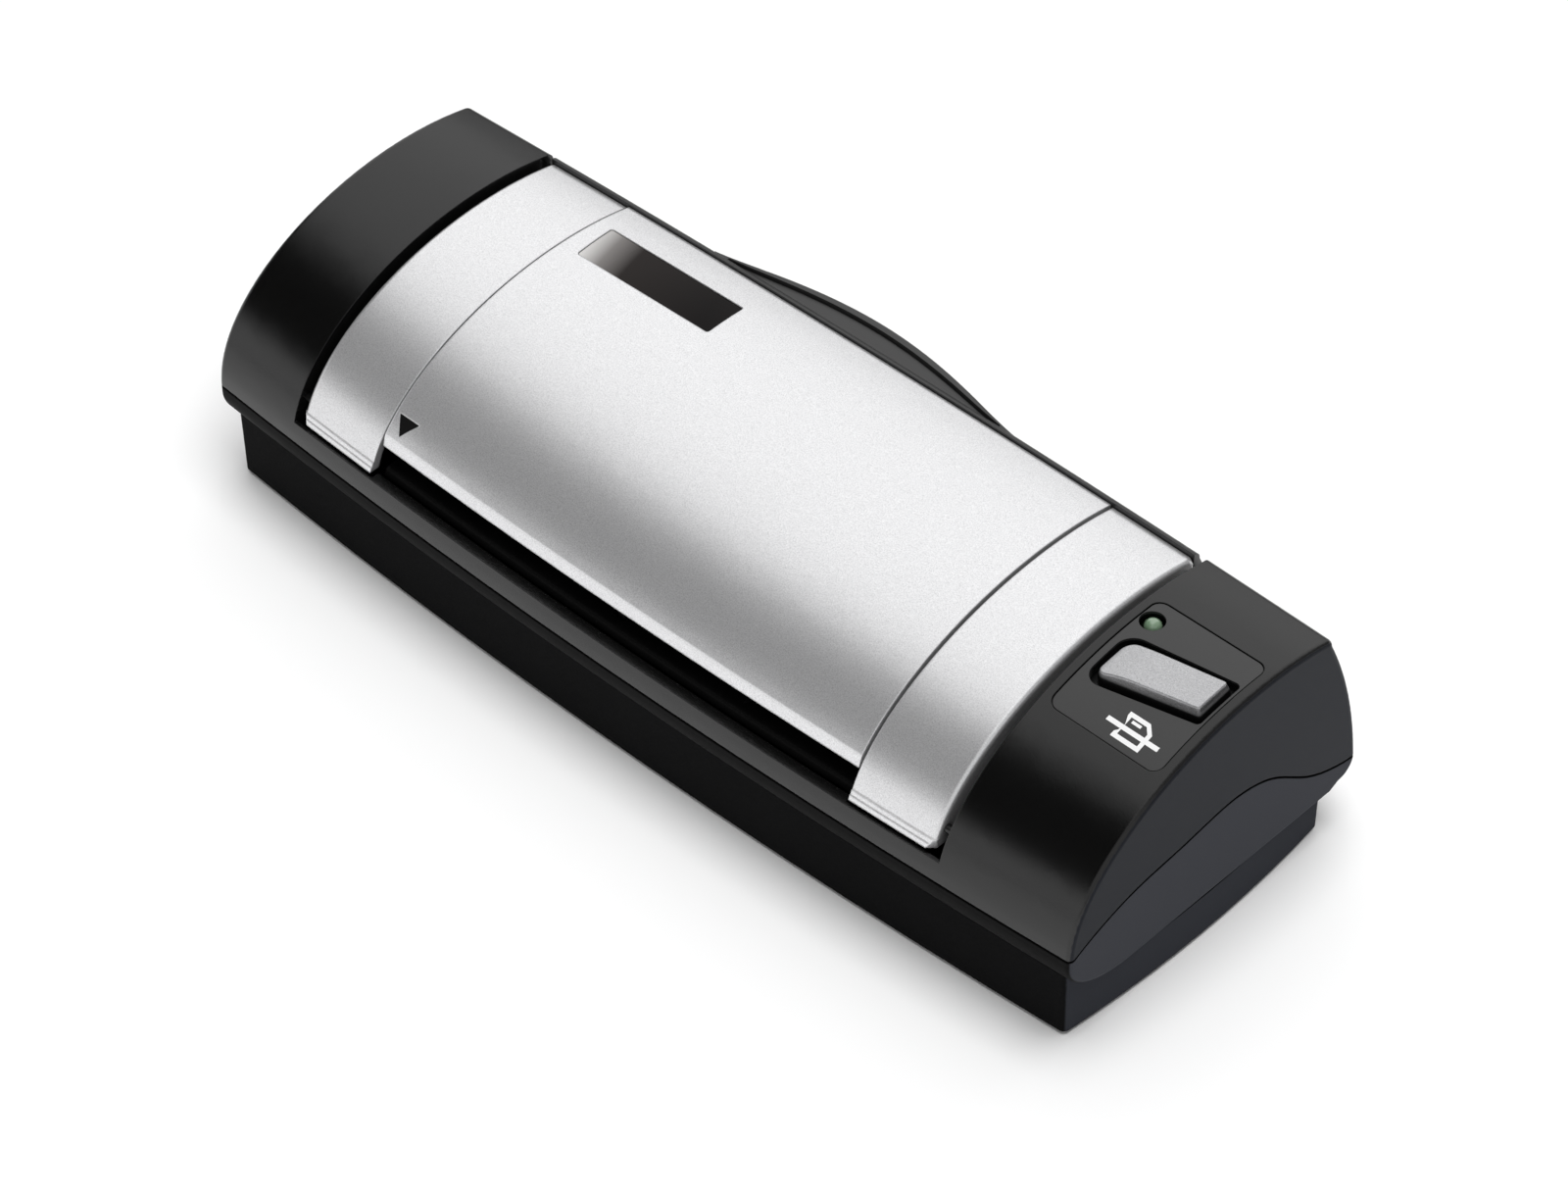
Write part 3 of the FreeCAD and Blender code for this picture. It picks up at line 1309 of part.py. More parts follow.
# ------------------------------------------------------------------ checks and export
problems = []
for item in doc.Objects:
    if "Invalid" in item.State or "Error" in item.State:
        problems.append("%s: %s" % (item.Label, item.State))
for item in NODES:
    shape = item.Shape
    if shape.isNull() or not shape.isValid() or not shape.Solids:
        problems.append("%s has no valid solid" % item.Label)
if problems:
    raise RuntimeError("; ".join(problems))
for item in NODES:
    item.Shape.exportStep("parts/%s.step" % item.Label)
    print("%-22s %2d solids  %9.1f mm3" % (item.Label, len(item.Shape.Solids), item.Shape.Volume))
print("%d nodes" % len(NODES))
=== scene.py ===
import json
import math

import bmesh
import bpy
from mathutils import Matrix, Vector
from mathutils.bvhtree import BVHTree


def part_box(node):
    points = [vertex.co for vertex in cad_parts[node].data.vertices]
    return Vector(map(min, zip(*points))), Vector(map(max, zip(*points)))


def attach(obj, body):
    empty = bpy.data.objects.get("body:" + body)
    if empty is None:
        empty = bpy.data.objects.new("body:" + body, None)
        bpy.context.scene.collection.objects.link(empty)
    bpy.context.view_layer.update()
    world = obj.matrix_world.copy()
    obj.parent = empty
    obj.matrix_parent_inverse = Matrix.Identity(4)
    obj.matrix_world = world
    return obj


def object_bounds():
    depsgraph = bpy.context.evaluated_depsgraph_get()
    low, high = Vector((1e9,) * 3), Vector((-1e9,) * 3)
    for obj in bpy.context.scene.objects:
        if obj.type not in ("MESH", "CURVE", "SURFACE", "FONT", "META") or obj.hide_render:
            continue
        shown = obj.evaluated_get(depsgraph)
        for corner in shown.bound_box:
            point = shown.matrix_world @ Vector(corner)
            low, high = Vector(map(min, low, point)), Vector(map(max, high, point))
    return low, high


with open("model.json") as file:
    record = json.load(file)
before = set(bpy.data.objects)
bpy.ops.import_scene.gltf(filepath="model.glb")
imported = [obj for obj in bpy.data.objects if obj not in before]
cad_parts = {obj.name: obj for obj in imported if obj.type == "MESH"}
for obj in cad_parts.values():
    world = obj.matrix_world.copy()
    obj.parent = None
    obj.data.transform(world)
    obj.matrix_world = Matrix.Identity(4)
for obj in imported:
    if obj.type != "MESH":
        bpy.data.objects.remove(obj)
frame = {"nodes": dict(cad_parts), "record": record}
CAD_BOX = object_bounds()
NODES = frame["nodes"]
MM = 0.001
scene = bpy.context.scene


# ---------------------------------------------------------------- camera
# A long lens looks down on the front right corner, level from side to side.
AZIMUTH = math.radians(43.58)
ELEVATION = math.radians(43.80)
LENS = 115.2
SENSOR = 36.0
CAMERA_PLACE = Vector((410.9, -427.3, 578.2)) * MM
NEAR_CLIP = 0.01
FAR_CLIP = 20.0


def make_camera():
    back = Vector((math.sin(AZIMUTH) * math.cos(ELEVATION),
                   -math.cos(AZIMUTH) * math.cos(ELEVATION),
                   math.sin(ELEVATION)))
    right = Vector((math.cos(AZIMUTH), math.sin(AZIMUTH), 0.0))
    up = back.cross(right)
    data = bpy.data.cameras.new("camera")
    data.lens = LENS
    data.sensor_width = SENSOR
    data.clip_start = NEAR_CLIP
    data.clip_end = FAR_CLIP
    camera = bpy.data.objects.new("camera", data)
    turn = Matrix((right, up, back)).transposed().to_4x4()
    camera.matrix_world = Matrix.Translation(CAMERA_PLACE) @ turn
    scene.collection.objects.link(camera)
    scene.camera = camera


make_camera()


# ---------------------------------------------------------------- material helpers
class Build:
    """A node material under construction, with a few short ways to add to it."""

    def __init__(self, name):
        self.material = bpy.data.materials.new(name)
        self.material.use_nodes = True
        self.tree = self.material.node_tree
        self.nodes = self.tree.nodes
        self.links = self.tree.links
        self.shader = self.nodes["Principled BSDF"]
        self.coords = self.nodes.new("ShaderNodeTexCoord").outputs["Object"]

    def set(self, **sockets):
        for name, value in sockets.items():
            self.shader.inputs[name.replace("_", " ")].default_value = value

    def link(self, output, name):
        self.links.new(output, self.shader.inputs[name])

    def add(self, kind, **settings):
        node = self.nodes.new(kind)
        for name, value in settings.items():
            setattr(node, name, value)
        return node

    def feed(self, node, inputs):
        for name, value in inputs.items():
            socket = node.inputs[name]
            if isinstance(value, bpy.types.NodeSocket):
                self.links.new(value, socket)
            else:
                socket.default_value = value
        return node

    def noise(self, scale, detail=3.0, roughness=0.6, vector=None):
        node = self.add("ShaderNodeTexNoise")
        self.feed(node, {"Vector": vector or self.coords, "Scale": scale, "Detail": detail,
                         "Roughness": roughness})
        return node.outputs["Fac"]

    def ramp(self, factor, stops):
        node = self.add("ShaderNodeValToRGB")
        self.links.new(factor, node.inputs["Fac"])
        elements = node.color_ramp.elements
        while len(elements) > 1:
            elements.remove(elements[-1])
        for index, (position, value) in enumerate(stops):
            element = elements[0] if index == 0 else elements.new(position)
            element.position = position
            if isinstance(value, (int, float)):
                value = (value, value, value)
            element.color = (*value[:3], 1.0)
        return node.outputs["Color"]

    def math(self, operation, *values):
        node = self.add("ShaderNodeMath", operation=operation)
        self.feed(node, dict(enumerate(values)))
        return node.outputs[0]

    def mix(self, factor, a, b):
        """From colour a to colour b. A node's output may stand for either."""
        node = self.add("ShaderNodeMix", data_type="RGBA")
        colours = [value if isinstance(value, bpy.types.NodeSocket) else (*value, 1.0)
                   for value in (a, b)]
        self.feed(node, {0: factor, 6: colours[0], 7: colours[1]})
        return node.outputs[2]

    def axis(self, source, name):
        node = self.add("ShaderNodeSeparateXYZ")
        self.links.new(source, node.inputs[0])
        return node.outputs[name]

    def surface(self, height, distance, strength, edge=0.0):
        """Bump from a height, over edges that are rounded by the Bevel node."""
        bump = self.add("ShaderNodeBump")
        self.feed(bump, {"Height": height, "Distance": distance, "Strength": strength})
        if edge:
            bevel = self.add("ShaderNodeBevel", samples=6)
            self.feed(bevel, {"Radius": edge})
            self.feed(bump, {"Normal": bevel.outputs["Normal"]})
        self.link(bump.outputs["Normal"], "Normal")


def wear(build, scale=90.0):
    """Slow mottling that keeps a plain surface from looking poured."""
    return build.noise(scale, detail=4.0, roughness=0.7)


# ---------------------------------------------------------------- materials of the outside
def silver_paint():
    """Fine metallic paint: bright flakes in a satin lacquer."""
    b = Build("silver_paint")
    flakes = b.noise(5200.0, detail=2.0, roughness=0.8)
    broad = wear(b, 60.0)
    colour = b.ramp(flakes, [(0.30, (0.60, 0.60, 0.61)), (0.52, (0.80, 0.80, 0.81)),
                             (0.72, (0.95, 0.95, 0.96))])
    b.link(colour, "Base Color")
    b.link(b.math("MULTIPLY_ADD", broad, 0.02, 0.29), "Roughness")
    b.set(Metallic=0.74, Coat_Weight=0.10, Coat_Roughness=0.28)
    b.surface(flakes, 0.00002, 0.35, edge=0.0004)
    return b.material


END_ZONE = 4 * MM
END_FACING = (0.66, 0.86)


def flat_end(build):
    """1 on the flat end faces of the case and the skirt, 0 elsewhere. The materials paint a
    lighter colour on these faces as light.
    """
    geometry = build.add("ShaderNodeNewGeometry")
    facing = build.math("ABSOLUTE", build.axis(geometry.outputs["Normal"], "X"))
    along = build.math("ABSOLUTE", build.axis(build.coords, "X"))
    outermost = build.math("GREATER_THAN", along, CAD_BOX[1][0] - END_ZONE)
    start, full = END_FACING
    return build.math("MULTIPLY", build.ramp(facing, [(start, 0.0), (full, 1.0)]), outermost)


def satin_black():
    """The upper housing: satin black on top; its flat ends are matt, and a lighter bluish grey is
    painted on them as light.
    """
    b = Build("satin_black")
    grain = b.noise(4200.0, detail=2.0, roughness=0.7)
    broad = wear(b, 45.0)
    at_end = flat_end(b)
    black = b.mix(broad, (0.0020, 0.0020, 0.0020), (0.0042, 0.0042, 0.0041))
    # painted light: the faces turned to the sides get a lighter bluish grey than the top
    painted_end_light = b.mix(grain, (0.018, 0.0195, 0.024), (0.030, 0.032, 0.038))
    b.link(b.mix(at_end, black, painted_end_light), "Base Color")
    b.link(at_end, "Metallic")
    b.link(b.math("MULTIPLY_ADD", at_end, 0.44, 0.18), "Roughness")
    b.set(Specular_IOR_Level=0.52)
    b.surface(grain, 0.00003, 0.5, edge=0.0002)
    return b.material


def case_grey():
    """The lower housing: black along the front; its flat ends are matt, and a lighter bluish grey
    is painted on them as light.
    """
    b = Build("case_grey")
    grain = b.noise(4200.0, detail=2.0, roughness=0.7)
    at_end = flat_end(b)
    lip = b.mix(grain, (0.0020, 0.0020, 0.0020), (0.0045, 0.0045, 0.0045))
    # painted light: a lighter bluish grey on the flat ends
    painted_end_light = b.mix(grain, (0.034, 0.036, 0.043), (0.052, 0.054, 0.064))
    b.link(b.mix(at_end, lip, painted_end_light), "Base Color")
    b.set(Roughness=0.62, Specular_IOR_Level=0.06)
    b.surface(grain, 0.00003, 0.5, edge=0.0004)
    return b.material


def base_black():
    """The skirt: near-black with a fine spark-eroded texture; a lighter grey is painted on its
    ends as light.
    """
    b = Build("base_black")
    grain = b.noise(3000.0, detail=3.0, roughness=0.8)
    broad = wear(b, 70.0)
    black = b.mix(broad, (0.0020, 0.0020, 0.0022), (0.0045, 0.0045, 0.0048))
    # painted light: a lighter grey on the flat ends
    painted_end_light = b.mix(grain, (0.024, 0.026, 0.032), (0.038, 0.040, 0.048))
    b.link(b.mix(flat_end(b), black, painted_end_light), "Base Color")
    b.set(Specular_IOR_Level=0.05)
    b.link(b.ramp(grain, [(0.3, 0.68), (0.7, 0.84)]), "Roughness")
    b.surface(grain, 0.00006, 0.6, edge=0.0004)
    return b.material


def label_film():
    b = Build("label_film")
    grain = b.noise(5200.0, detail=2.0, roughness=0.7)
    b.link(b.mix(grain, (0.024, 0.024, 0.024), (0.034, 0.034, 0.034)), "Base Color")
    b.link(b.ramp(grain, [(0.3, 0.34), (0.7, 0.42)]), "Roughness")
    b.surface(grain, 0.00002, 0.5, edge=0.00012)
    return b.material


def trim_black():
    b = Build("trim_black")
    grain = b.noise(3800.0, detail=2.0, roughness=0.7)
    b.link(b.mix(grain, (0.020, 0.020, 0.020), (0.032, 0.032, 0.032)), "Base Color")
    b.link(b.ramp(grain, [(0.3, 0.30), (0.7, 0.38)]), "Roughness")
    b.surface(grain, 0.00003, 0.4, edge=0.0002)
    return b.material


def badge_gloss():
    """A lacquered plate with a painted sheen: its colour runs from a bright metal reflection on
    the left to black.
    """
    b = Build("badge_gloss")
    low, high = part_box("badge_plate")
    across = b.axis(b.coords, "X")
    share = b.math("MULTIPLY", b.math("SUBTRACT", across, low[0]), 1.0 / (high[0] - low[0]))
    slant = b.math("MULTIPLY_ADD", b.axis(b.coords, "Y"), 9.0, share)
    # painted reflection: a bright sheen at the left end that fades to black along a slant
    painted_sheen = b.ramp(slant, [(0.12, (0.60, 0.59, 0.58)), (0.26, (0.18, 0.17, 0.165)),
                           (0.42, (0.018, 0.015, 0.014)), (1.0, (0.005, 0.004, 0.004))])
    b.link(painted_sheen, "Base Color")
    b.link(b.ramp(share, [(0.1, 0.32), (0.5, 0.16)]), "Roughness")
    b.set(Metallic=0.0, Specular_IOR_Level=0.06)
    b.surface(b.noise(900.0), 0.00001, 0.3, edge=0.00015)
    return b.material


CONTROL_TILT = math.radians(8.2)
# depth below the crest where the silver runs out; the black below is part unpainted cap, part
# painted shade
PAINT_AND_SHADE_DEPTH = 1.7 * MM


def button_silver():
    """Silver paint on the cap of the button, which fades to black down its sides. The black also
    stands in for shade down the sides and in the well: painted shade.
    """
    b = Build("button_silver")
    grain = b.noise(5200.0, detail=2.0, roughness=0.8)
    silver = b.ramp(grain, [(0.3, (0.36, 0.36, 0.37)), (0.55, (0.50, 0.50, 0.51)),
                            (0.75, (0.66, 0.66, 0.67))])
    slope = math.tan(CONTROL_TILT)
    corners = [vertex.co for vertex in NODES["scan_button"].data.vertices]
    rim = max(corner.z - slope * corner.y for corner in corners) - PAINT_AND_SHADE_DEPTH
    tilt = b.math("MULTIPLY", b.axis(b.coords, "Y"), slope)
    level = b.math("SUBTRACT", b.axis(b.coords, "Z"), tilt)
    over = b.math("MULTIPLY", b.math("SUBTRACT", level, rim), 1.0 / MM)
    # painted shade: the colour goes black down the sides of the cap and into the well
    silver_above_shade = b.ramp(over, [(0.0, 0.0), (0.9, 1.0)])
    b.link(b.mix(silver_above_shade, (0.006, 0.006, 0.006), silver), "Base Color")
    b.link(b.ramp(grain, [(0.3, 0.27), (0.7, 0.34)]), "Roughness")
    b.link(b.math("MULTIPLY", silver_above_shade, 0.9), "Metallic")
    b.surface(grain, 0.00002, 0.3, edge=0.0003)
    return b.material


def lamp_green():
    b = Build("lamp_green")
    cloud = b.noise(700.0)
    b.link(b.mix(cloud, (0.16, 0.30, 0.17), (0.34, 0.46, 0.32)), "Base Color")
    b.link(b.ramp(cloud, [(0.3, 0.06), (0.7, 0.12)]), "Roughness")
    b.set(Transmission_Weight=0.35, Coat_Weight=0.8, Coat_Roughness=0.03, Coat_IOR=1.8)
    return b.material


def ink(name, colour, rough):
    b = Build(name)
    grain = b.noise(5000.0)
    darker = tuple(c * 0.8 for c in colour)
    b.link(b.mix(grain, darker, colour), "Base Color")
    b.link(b.ramp(grain, [(0.3, rough - 0.05), (0.7, rough + 0.05)]), "Roughness")
    b.set(Specular_IOR_Level=0.1)
    return b.material


# ---------------------------------------------------------------- materials of the inside
def moulded(name, dark, light, rough, scale=2500.0, depth=0.00004, edge=0.0002, specular=0.5):
    b = Build(name)
    b.set(Specular_IOR_Level=specular)
    grain = b.noise(scale, detail=3.0, roughness=0.7)
    broad = wear(b)
    b.link(b.mix(b.math("MULTIPLY", b.math("ADD", grain, broad), 0.5), dark, light), "Base Color")
    b.link(b.ramp(grain, [(0.3, rough - 0.05), (0.7, rough + 0.07)]), "Roughness")
    b.surface(grain, depth, 0.5, edge=edge)
    return b.material


def metal(name, dark, light, rough, stretch=(1.0, 1.0, 1.0), scale=1500.0):
    """Brushed or turned metal, with the grain drawn out along the axis of the small stretch."""
    b = Build(name)
    mapping = b.add("ShaderNodeMapping")
    b.feed(mapping, {"Vector": b.coords, "Scale": stretch})
    grain = b.noise(scale, detail=4.0, roughness=0.7, vector=mapping.outputs[0])
    broad = wear(b, 120.0)
    b.link(b.mix(b.math("MULTIPLY", b.math("ADD", grain, broad), 0.5), dark, light), "Base Color")
    b.link(b.ramp(grain, [(0.3, rough - 0.06), (0.7, rough + 0.08)]), "Roughness")
    b.set(Metallic=1.0)
    b.surface(grain, 0.00002, 0.4, edge=0.0001)
    return b.material


def rubber(name, dark, light):
    b = Build(name)
    grain = b.noise(2200.0, detail=4.0, roughness=0.8)
    b.link(b.mix(grain, dark, light), "Base Color")
    b.link(b.ramp(grain, [(0.3, 0.62), (0.7, 0.8)]), "Roughness")
    b.surface(grain, 0.00008, 0.6, edge=0.0002)
    return b.material


def sensor_glass():
    b = Build("sensor_glass")
    smear = b.noise(80.0, detail=5.0)
    b.link(b.mix(smear, (0.80, 0.88, 0.85), (0.90, 0.95, 0.93)), "Base Color")
    b.link(b.ramp(smear, [(0.4, 0.02), (0.8, 0.07)]), "Roughness")
    b.set(Transmission_Weight=0.9, IOR=1.5)
    return b.material


def circuit_board():
    """Solder resist over a fan of straight copper tracks."""
    b = Build("circuit_board")
    tracks = b.add("ShaderNodeTexWave", wave_type="BANDS", bands_direction="DIAGONAL")
    b.feed(tracks, {"Vector": b.coords, "Scale": 260.0, "Distortion": 3.0, "Detail": 0.0})
    lines = b.ramp(tracks.outputs["Fac"], [(0.55, 0.0), (0.62, 1.0)])
    weave = b.noise(1800.0)
    resist = b.mix(weave, (0.010, 0.090, 0.035), (0.018, 0.130, 0.050))
    b.link(b.mix(lines, resist, (0.035, 0.21, 0.08)), "Base Color")
    b.link(b.ramp(weave, [(0.3, 0.25), (0.7, 0.38)]), "Roughness")
    b.surface(lines, 0.00004, 0.5, edge=0.0001)
    return b.material


PALETTE = {
    "silver_paint": silver_paint(),
    "case_satin": satin_black(),
    "case_grey": case_grey(),
    "base_black": base_black(),
    "label_black": label_film(),
    "trim_black": trim_black(),
    "badge_gloss": badge_gloss(),
    "button_silver": button_silver(),
    "lamp_green": lamp_green(),
    "ink_black": ink("ink_black", (0.004, 0.004, 0.004), 0.6),
    "frame_black": moulded("frame_black", (0.0020, 0.0020, 0.0020), (0.005, 0.005, 0.005), 0.45,
                           specular=0.05),
    "sensor_black": moulded("sensor_black", (0.012, 0.012, 0.014), (0.024, 0.024, 0.028), 0.5),
    "switch_black": moulded("switch_black", (0.012, 0.012, 0.012), (0.022, 0.022, 0.022), 0.45),
    "chip_black": moulded("chip_black", (0.014, 0.014, 0.014), (0.030, 0.030, 0.031), 0.55),
    "flag_black": moulded("flag_black", (0.012, 0.012, 0.012), (0.022, 0.022, 0.022), 0.35),
    "backing_white": moulded("backing_white", (0.70, 0.70, 0.67), (0.82, 0.82, 0.80), 0.5),
    "gear_white": moulded("gear_white", (0.62, 0.60, 0.53), (0.76, 0.74, 0.68), 0.38),
    "pinch_plastic": moulded("pinch_plastic", (0.58, 0.58, 0.54), (0.70, 0.70, 0.67), 0.35),
    "circuit_green": circuit_board(),
    "glass": sensor_glass(),
    "roller_rubber": rubber("roller_rubber", (0.030, 0.030, 0.034), (0.060, 0.060, 0.066)),
    "foot_rubber": rubber("foot_rubber", (0.010, 0.010, 0.010), (0.024, 0.024, 0.024)),
    "shaft_steel": metal("shaft_steel", (0.42, 0.42, 0.44), (0.68, 0.68, 0.70), 0.25,
                         stretch=(40.0, 1.0, 1.0), scale=60.0),
    "zinc_sheet": metal("zinc_sheet", (0.45, 0.47, 0.48), (0.66, 0.68, 0.68), 0.34,
                        stretch=(1.0, 1.0, 0.1), scale=900.0),
    "motor_can": metal("motor_can", (0.34, 0.34, 0.36), (0.55, 0.55, 0.57), 0.3,
                       stretch=(0.1, 1.0, 1.0), scale=900.0),
    "screw_steel": metal("screw_steel", (0.06, 0.06, 0.06), (0.15, 0.15, 0.15), 0.35),
    "dark_steel": metal("dark_steel", (0.03, 0.03, 0.03), (0.08, 0.08, 0.08), 0.35),
    "spring_steel": metal("spring_steel", (0.34, 0.35, 0.37), (0.56, 0.57, 0.59), 0.25),
    "socket_steel": metal("socket_steel", (0.55, 0.55, 0.56), (0.78, 0.78, 0.79), 0.22),
    "bush_bronze": metal("bush_bronze", (0.32, 0.19, 0.10), (0.58, 0.38, 0.20), 0.42),
    "brass": metal("brass", (0.52, 0.38, 0.14), (0.78, 0.60, 0.28), 0.3),
}


def paint_nodes():
    """Gives each CAD node the material of its slot."""
    for entry in frame["record"]["subparts"]:
        slots = NODES[entry["node"]].data.materials
        slots.clear()
        slots.append(PALETTE[entry["material_slot"]])


paint_nodes()


# ---------------------------------------------------------------- pictogram beside the button
def tree_of(node_name):
    """The surface of a node, to lay things on."""
    mesh = NODES[node_name].data
    corners = [vertex.co.copy() for vertex in mesh.vertices]
    return BVHTree.FromPolygons(corners, [list(face.vertices) for face in mesh.polygons])


ABOVE_ALL = 0.1


def drop_onto(tree, x, y):
    """The point of a surface straight below (x, y), and its normal."""
    place, normal, _, _ = tree.ray_cast(Vector((x, y, ABOVE_ALL)), Vector((0, 0, -1)))
    return place, normal


def ring(outer, inner):
    """Quads between two closed outlines of the same number of points."""
    count = len(outer)
    quads = []
    for k in range(count):
        after = (k + 1) % count
        quads.append((outer[k], outer[after], inner[after], inner[k]))
    return quads


def finish_piece(mesh, name, material, body):
    """Turns a bmesh into a piece that rides on a body."""
    bmesh.ops.recalc_face_normals(mesh, faces=mesh.faces)
    data = bpy.data.meshes.new(name)
    mesh.to_mesh(data)
    mesh.free()
    piece = bpy.data.objects.new(name, data)
    scene.collection.objects.link(piece)
    piece.data.materials.append(material)
    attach(piece, body)


SHEET_HALF_X = 2.7
SHEET_HALF_Y = 2.4
SHEET_FOLD = 1.5
SHEET_INNER_FOLD = 0.95
SHEET_LINE = 0.75
SCAN_BAR = (-5.0, 5.0, -0.75, 0.05)
SHORT_BAR = (-1.4, 0.4, 0.85, 1.35)
PICTOGRAM_ALONG = 0.55
PICTOGRAM_RIGHT = 2.2 * MM
PICTOGRAM_BEHIND = 3.6 * MM
INK_BELOW = 0.02 * MM
INK_ABOVE = 0.03 * MM


def sheet_outline(half_x, half_y, cut):
    """A rectangle whose upper right corner is cut off."""
    return [(-half_x, -half_y), (half_x, -half_y), (half_x, half_y - cut),
            (half_x - cut, half_y), (-half_x, half_y)]


def make_pictogram():
    """A sheet with a folded corner that passes over a scan line, printed in white."""
    surface = tree_of("control_label")
    low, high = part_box("control_label")
    middle_x = low[0] + PICTOGRAM_ALONG * (high[0] - low[0]) + PICTOGRAM_RIGHT
    middle_y = low[1] + PICTOGRAM_BEHIND
    outer = sheet_outline(SHEET_HALF_X, SHEET_HALF_Y, SHEET_FOLD)
    inner = sheet_outline(SHEET_HALF_X - SHEET_LINE, SHEET_HALF_Y - SHEET_LINE, SHEET_INNER_FOLD)
    quads = ring(outer, inner)
    for x0, x1, y0, y1 in (SCAN_BAR, SHORT_BAR):
        quads.append(((x0, y0), (x1, y0), (x1, y1), (x0, y1)))
    mesh = bmesh.new()
    for quad in quads:
        lower = []
        upper = []
        for u, v in quad:
            place, normal = drop_onto(surface, middle_x + u * MM, middle_y + v * MM)
            lower.append(mesh.verts.new(place - normal * INK_BELOW))
            upper.append(mesh.verts.new(place + normal * INK_ABOVE))
        mesh.faces.new(upper)
        mesh.faces.new(lower[::-1])
        for k in range(4):
            after = (k + 1) % 4
            mesh.faces.new((lower[k], lower[after], upper[after], upper[k]))
    finish_piece(mesh, "scan_pictogram", ink("ink_white", (0.88, 0.88, 0.88), 0.45),
                 "case")


make_pictogram()


# ---------------------------------------------------------------- ribs of the paper path
RIB_X = (-59.0, -31.0, 25.0, 53.0)
RIB_HALF = 0.55
RIB_HIGH = 0.3
RIB_STEPS = 10
RIB_FACETS = 8
RIB_REAR_LENGTH = 14.0
RIB_END_SHARE = 0.05
RIB_END_POWER = 8
SENSOR_ROOM = 0.6
# the outer ribs start further back, clear of the cover's feet
FOOT_ROOM = 5.0
DECK_FRONT = -31.0
GUIDE_FRONT = -24.5


def add_rib(mesh, x, y0, y1, z, rise):
    """A half-round ridge along Y whose ends die away into the surface."""
    rows = []
    for k in range(RIB_STEPS + 1):
        share = k / RIB_STEPS
        y = y0 + (y1 - y0) * share
        swell = math.sqrt(max(0.0, 1 - abs(2 * share - 1) ** RIB_END_POWER))
        row = []
        for j in range(RIB_FACETS + 1):
            angle = math.pi * j / RIB_FACETS
            across = RIB_HALF * math.cos(angle) * max(swell, RIB_END_SHARE)
            height = rise * math.sin(angle) * swell
            row.append(mesh.verts.new(Vector((x + across, y, z + height)) * MM))
        rows.append(row)
    for first, second in zip(rows, rows[1:]):
        for j in range(RIB_FACETS):
            mesh.faces.new((first[j], first[j + 1], second[j + 1], second[j]))
        mesh.faces.new((first[-1], first[0], second[0], second[-1]))
    mesh.faces.new(rows[0])
    mesh.faces.new(rows[-1])


def make_ribs():
    """Low ribs that keep a sheet off the deck below it and off the guide above it."""
    front_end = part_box("lower_sensor")[0][1] / MM - SENSOR_ROOM
    rear_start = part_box("upper_sensor")[1][1] / MM + SENSOR_ROOM
    deck_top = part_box("paper_deck")[1][2] / MM
    guide_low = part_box("upper_guide")[0][2] / MM
    for name, body, z, rise, front in (
            ("deck_ribs", "case", deck_top, RIB_HIGH, DECK_FRONT),
            ("guide_ribs", "cover", guide_low, -RIB_HIGH, GUIDE_FRONT)):
        mesh = bmesh.new()
        for x in RIB_X:
            outer = x in (RIB_X[0], RIB_X[-1])
            add_rib(mesh, x, front + (FOOT_ROOM if outer else 0.0), front_end, z, rise)
            add_rib(mesh, x, rear_start, rear_start + RIB_REAR_LENGTH, z, rise)
        finish_piece(mesh, name, PALETTE["frame_black"], body)


make_ribs()


# ---------------------------------------------------------------- plate under the case
PLATE_HALF = (27.0, 11.0)
PLATE_RADIUS = 2.0
PLATE_THICK = 0.10
PRINT_HALF = (25.6, 9.6)
PRINT_WIDTH = 0.5
PRINT_THICK = 0.13
PLATE_EMBED = 0.05


def rounded_outline(half_x, half_y, radius, steps=6):
    """A rectangle with round corners, counter-clockwise from above."""
    points = []
    for corner in range(4):
        sign_x = 1 if corner in (0, 3) else -1
        sign_y = 1 if corner in (0, 1) else -1
        for k in range(steps + 1):
            angle = math.pi / 2 * (corner + k / steps)
            points.append((sign_x * (half_x - radius) + radius * math.cos(angle),
                           sign_y * (half_y - radius) + radius * math.sin(angle)))
    return points


def add_wall(mesh, outline, top_z, low_z):
    """An upright wall along an outline. Gives back its upper and its lower corners."""
    top, low = [[mesh.verts.new(Vector((x, y, z)) * MM) for x, y in outline]
                for z in (top_z, low_z)]
    for quad in ring(top, low):
        mesh.faces.new(quad)
    return top, low


def foil_silver():
    b = Build("foil_silver")
    brushed = b.add("ShaderNodeMapping")
    b.feed(brushed, {"Vector": b.coords, "Scale": (0.03, 1.0, 1.0)})
    grain = b.noise(2600.0, detail=3.0, roughness=0.7, vector=brushed.outputs[0])
    b.link(b.mix(grain, (0.42, 0.42, 0.43), (0.60, 0.60, 0.61)), "Base Color")
    b.link(b.ramp(grain, [(0.3, 0.36), (0.7, 0.5)]), "Roughness")
    b.set(Metallic=0.9)
    b.surface(grain, 0.00001, 0.4)
    return b.material


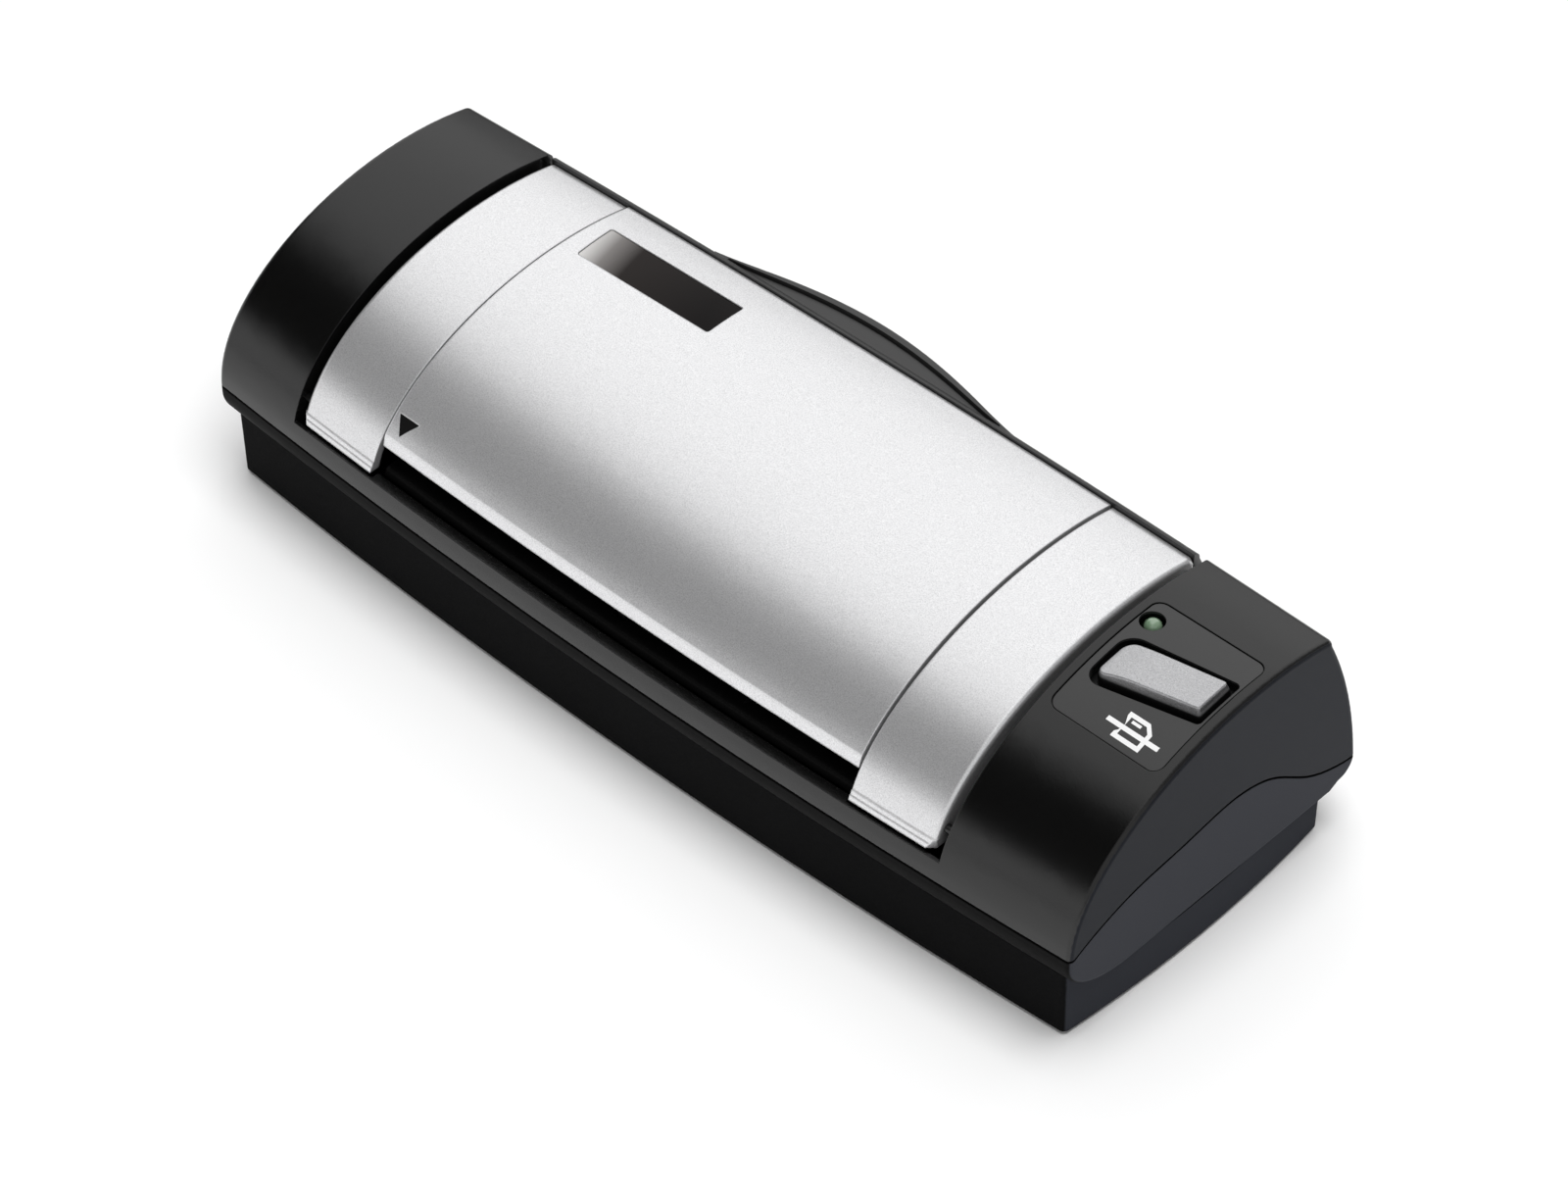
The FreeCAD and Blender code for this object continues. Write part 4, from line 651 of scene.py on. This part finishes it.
def make_rating_plate():
    """A blank foil plate with a printed frame, stuck under the case."""
    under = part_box("bottom_cover")[0][2] / MM
    foil = bmesh.new()
    top, low = add_wall(foil, rounded_outline(*PLATE_HALF, PLATE_RADIUS),
                        under + PLATE_EMBED, under - PLATE_THICK)
    foil.faces.new(top)
    foil.faces.new(low[::-1])
    finish_piece(foil, "rating_plate", foil_silver(), "case")

    printed = bmesh.new()
    walls = []
    for inset in (0.0, PRINT_WIDTH):
        half_x, half_y = PRINT_HALF
        outline = rounded_outline(half_x - inset, half_y - inset, PLATE_RADIUS - inset)
        walls.append(add_wall(printed, outline, under + PLATE_EMBED, under - PRINT_THICK))
    for outer, inner in zip(*walls):
        for quad in ring(outer, inner):
            printed.faces.new(quad)
    finish_piece(printed, "rating_frame", PALETTE["ink_black"], "case")


make_rating_plate()


# ---------------------------------------------------------------- stage and light
FLOOR_SIZE = 6.0
LAMP_PLACE = (0.20, 0.02, 1.30)
LAMP_SIZE = 0.8
LAMP_POWER = 11.0
DARK_SKY = 0.012
BRIGHT_SKY = 1.12
SKY_AIM = (0.15, 0.45, 0.88)
FRONT_LEFT_AIM = (-0.5, -0.86, 0.0)
# where a soft box stands, where it starts and is full as the cosine to its middle, its level
SOFT_BOXES = (((-0.8, 0.45, 0.4), 0.91, 0.98, 1.12),
              ((0.66, -0.66, 0.35), 0.50, 0.85, 0.60))


def make_floor():
    bpy.ops.mesh.primitive_plane_add(size=FLOOR_SIZE, location=(0, 0, 0))
    floor = bpy.context.object
    floor.name = "floor"
    b = Build("floor")
    mottle = b.noise(6.0, detail=2.0)
    b.link(b.mix(mottle, (0.93, 0.93, 0.93), (0.95, 0.95, 0.95)), "Base Color")
    b.set(Roughness=0.9, Specular_IOR_Level=0.1)
    floor.data.materials.append(b.material)


def make_lamp():
    """A square panel overhead, which lights the object without a glint on it."""
    data = bpy.data.lights.new("overhead", "AREA")
    data.shape = "SQUARE"
    data.size = LAMP_SIZE
    data.energy = LAMP_POWER
    lamp = bpy.data.objects.new("overhead", data)
    lamp.location = LAMP_PLACE
    lamp.rotation_euler = (-Vector(LAMP_PLACE)).to_track_quat("-Z", "Y").to_euler()
    lamp.visible_glossy = False
    scene.collection.objects.link(lamp)


def smooth_range(tree, value, start, end, first, last):
    """Runs smoothly from first to last as a value goes from start to end."""
    node = tree.nodes.new("ShaderNodeMapRange")
    node.interpolation_type = "SMOOTHSTEP"
    limits = {"From Min": start, "From Max": end, "To Min": first, "To Max": last}
    for name, limit in limits.items():
        node.inputs[name].default_value = limit
    tree.links.new(value, node.inputs["Value"])
    return node.outputs["Result"]


def combine(tree, operation, first, second):
    node = tree.nodes.new("ShaderNodeMath")
    node.operation = operation
    tree.links.new(first, node.inputs[0])
    tree.links.new(second, node.inputs[1])
    return node.outputs[0]


def toward(tree, direction, aim):
    """The cosine of the angle between a direction of the sky and an aim."""
    node = tree.nodes.new("ShaderNodeVectorMath")
    node.operation = "DOT_PRODUCT"
    tree.links.new(direction, node.inputs[0])
    node.inputs[1].default_value = Vector(aim).normalized()
    return node.outputs["Value"]


def make_world():
    """A soft sky, bright overhead and behind and dim on the right, with a bright band low down
    at the front left, and two soft boxes. Between the band and the sky it is dark."""
    world = bpy.data.worlds.new("world")
    scene.world = world
    world.use_nodes = True
    tree = world.node_tree
    direction = tree.nodes.new("ShaderNodeTexCoord").outputs["Generated"]
    parts = tree.nodes.new("ShaderNodeSeparateXYZ")
    tree.links.new(direction, parts.inputs[0])
    sky = smooth_range(tree, toward(tree, direction, SKY_AIM), 0.47, 0.65, DARK_SKY, BRIGHT_SKY)
    not_right = smooth_range(tree, parts.outputs["X"], 0.0, 0.3, 1.0, 0.25)
    horizon = smooth_range(tree, parts.outputs["Z"], 0.20, 0.44, 1.0, 0.0)
    ahead = toward(tree, direction, FRONT_LEFT_AIM)
    front_left = smooth_range(tree, ahead, 0.2, 0.8, 0.22, 1.0)
    level = combine(tree, "MAXIMUM", combine(tree, "MULTIPLY", sky, not_right),
                    combine(tree, "MULTIPLY", horizon, front_left))
    for aim, start, full, brightness in SOFT_BOXES:
        soft_box = smooth_range(tree, toward(tree, direction, aim), start, full, 0.0, brightness)
        level = combine(tree, "MAXIMUM", level, soft_box)
    background = tree.nodes["Background"]
    tree.links.new(level, background.inputs["Color"])
    background.inputs["Strength"].default_value = 1.0


scene.view_settings.view_transform = "Standard"
make_floor()
make_world()
make_lamp()
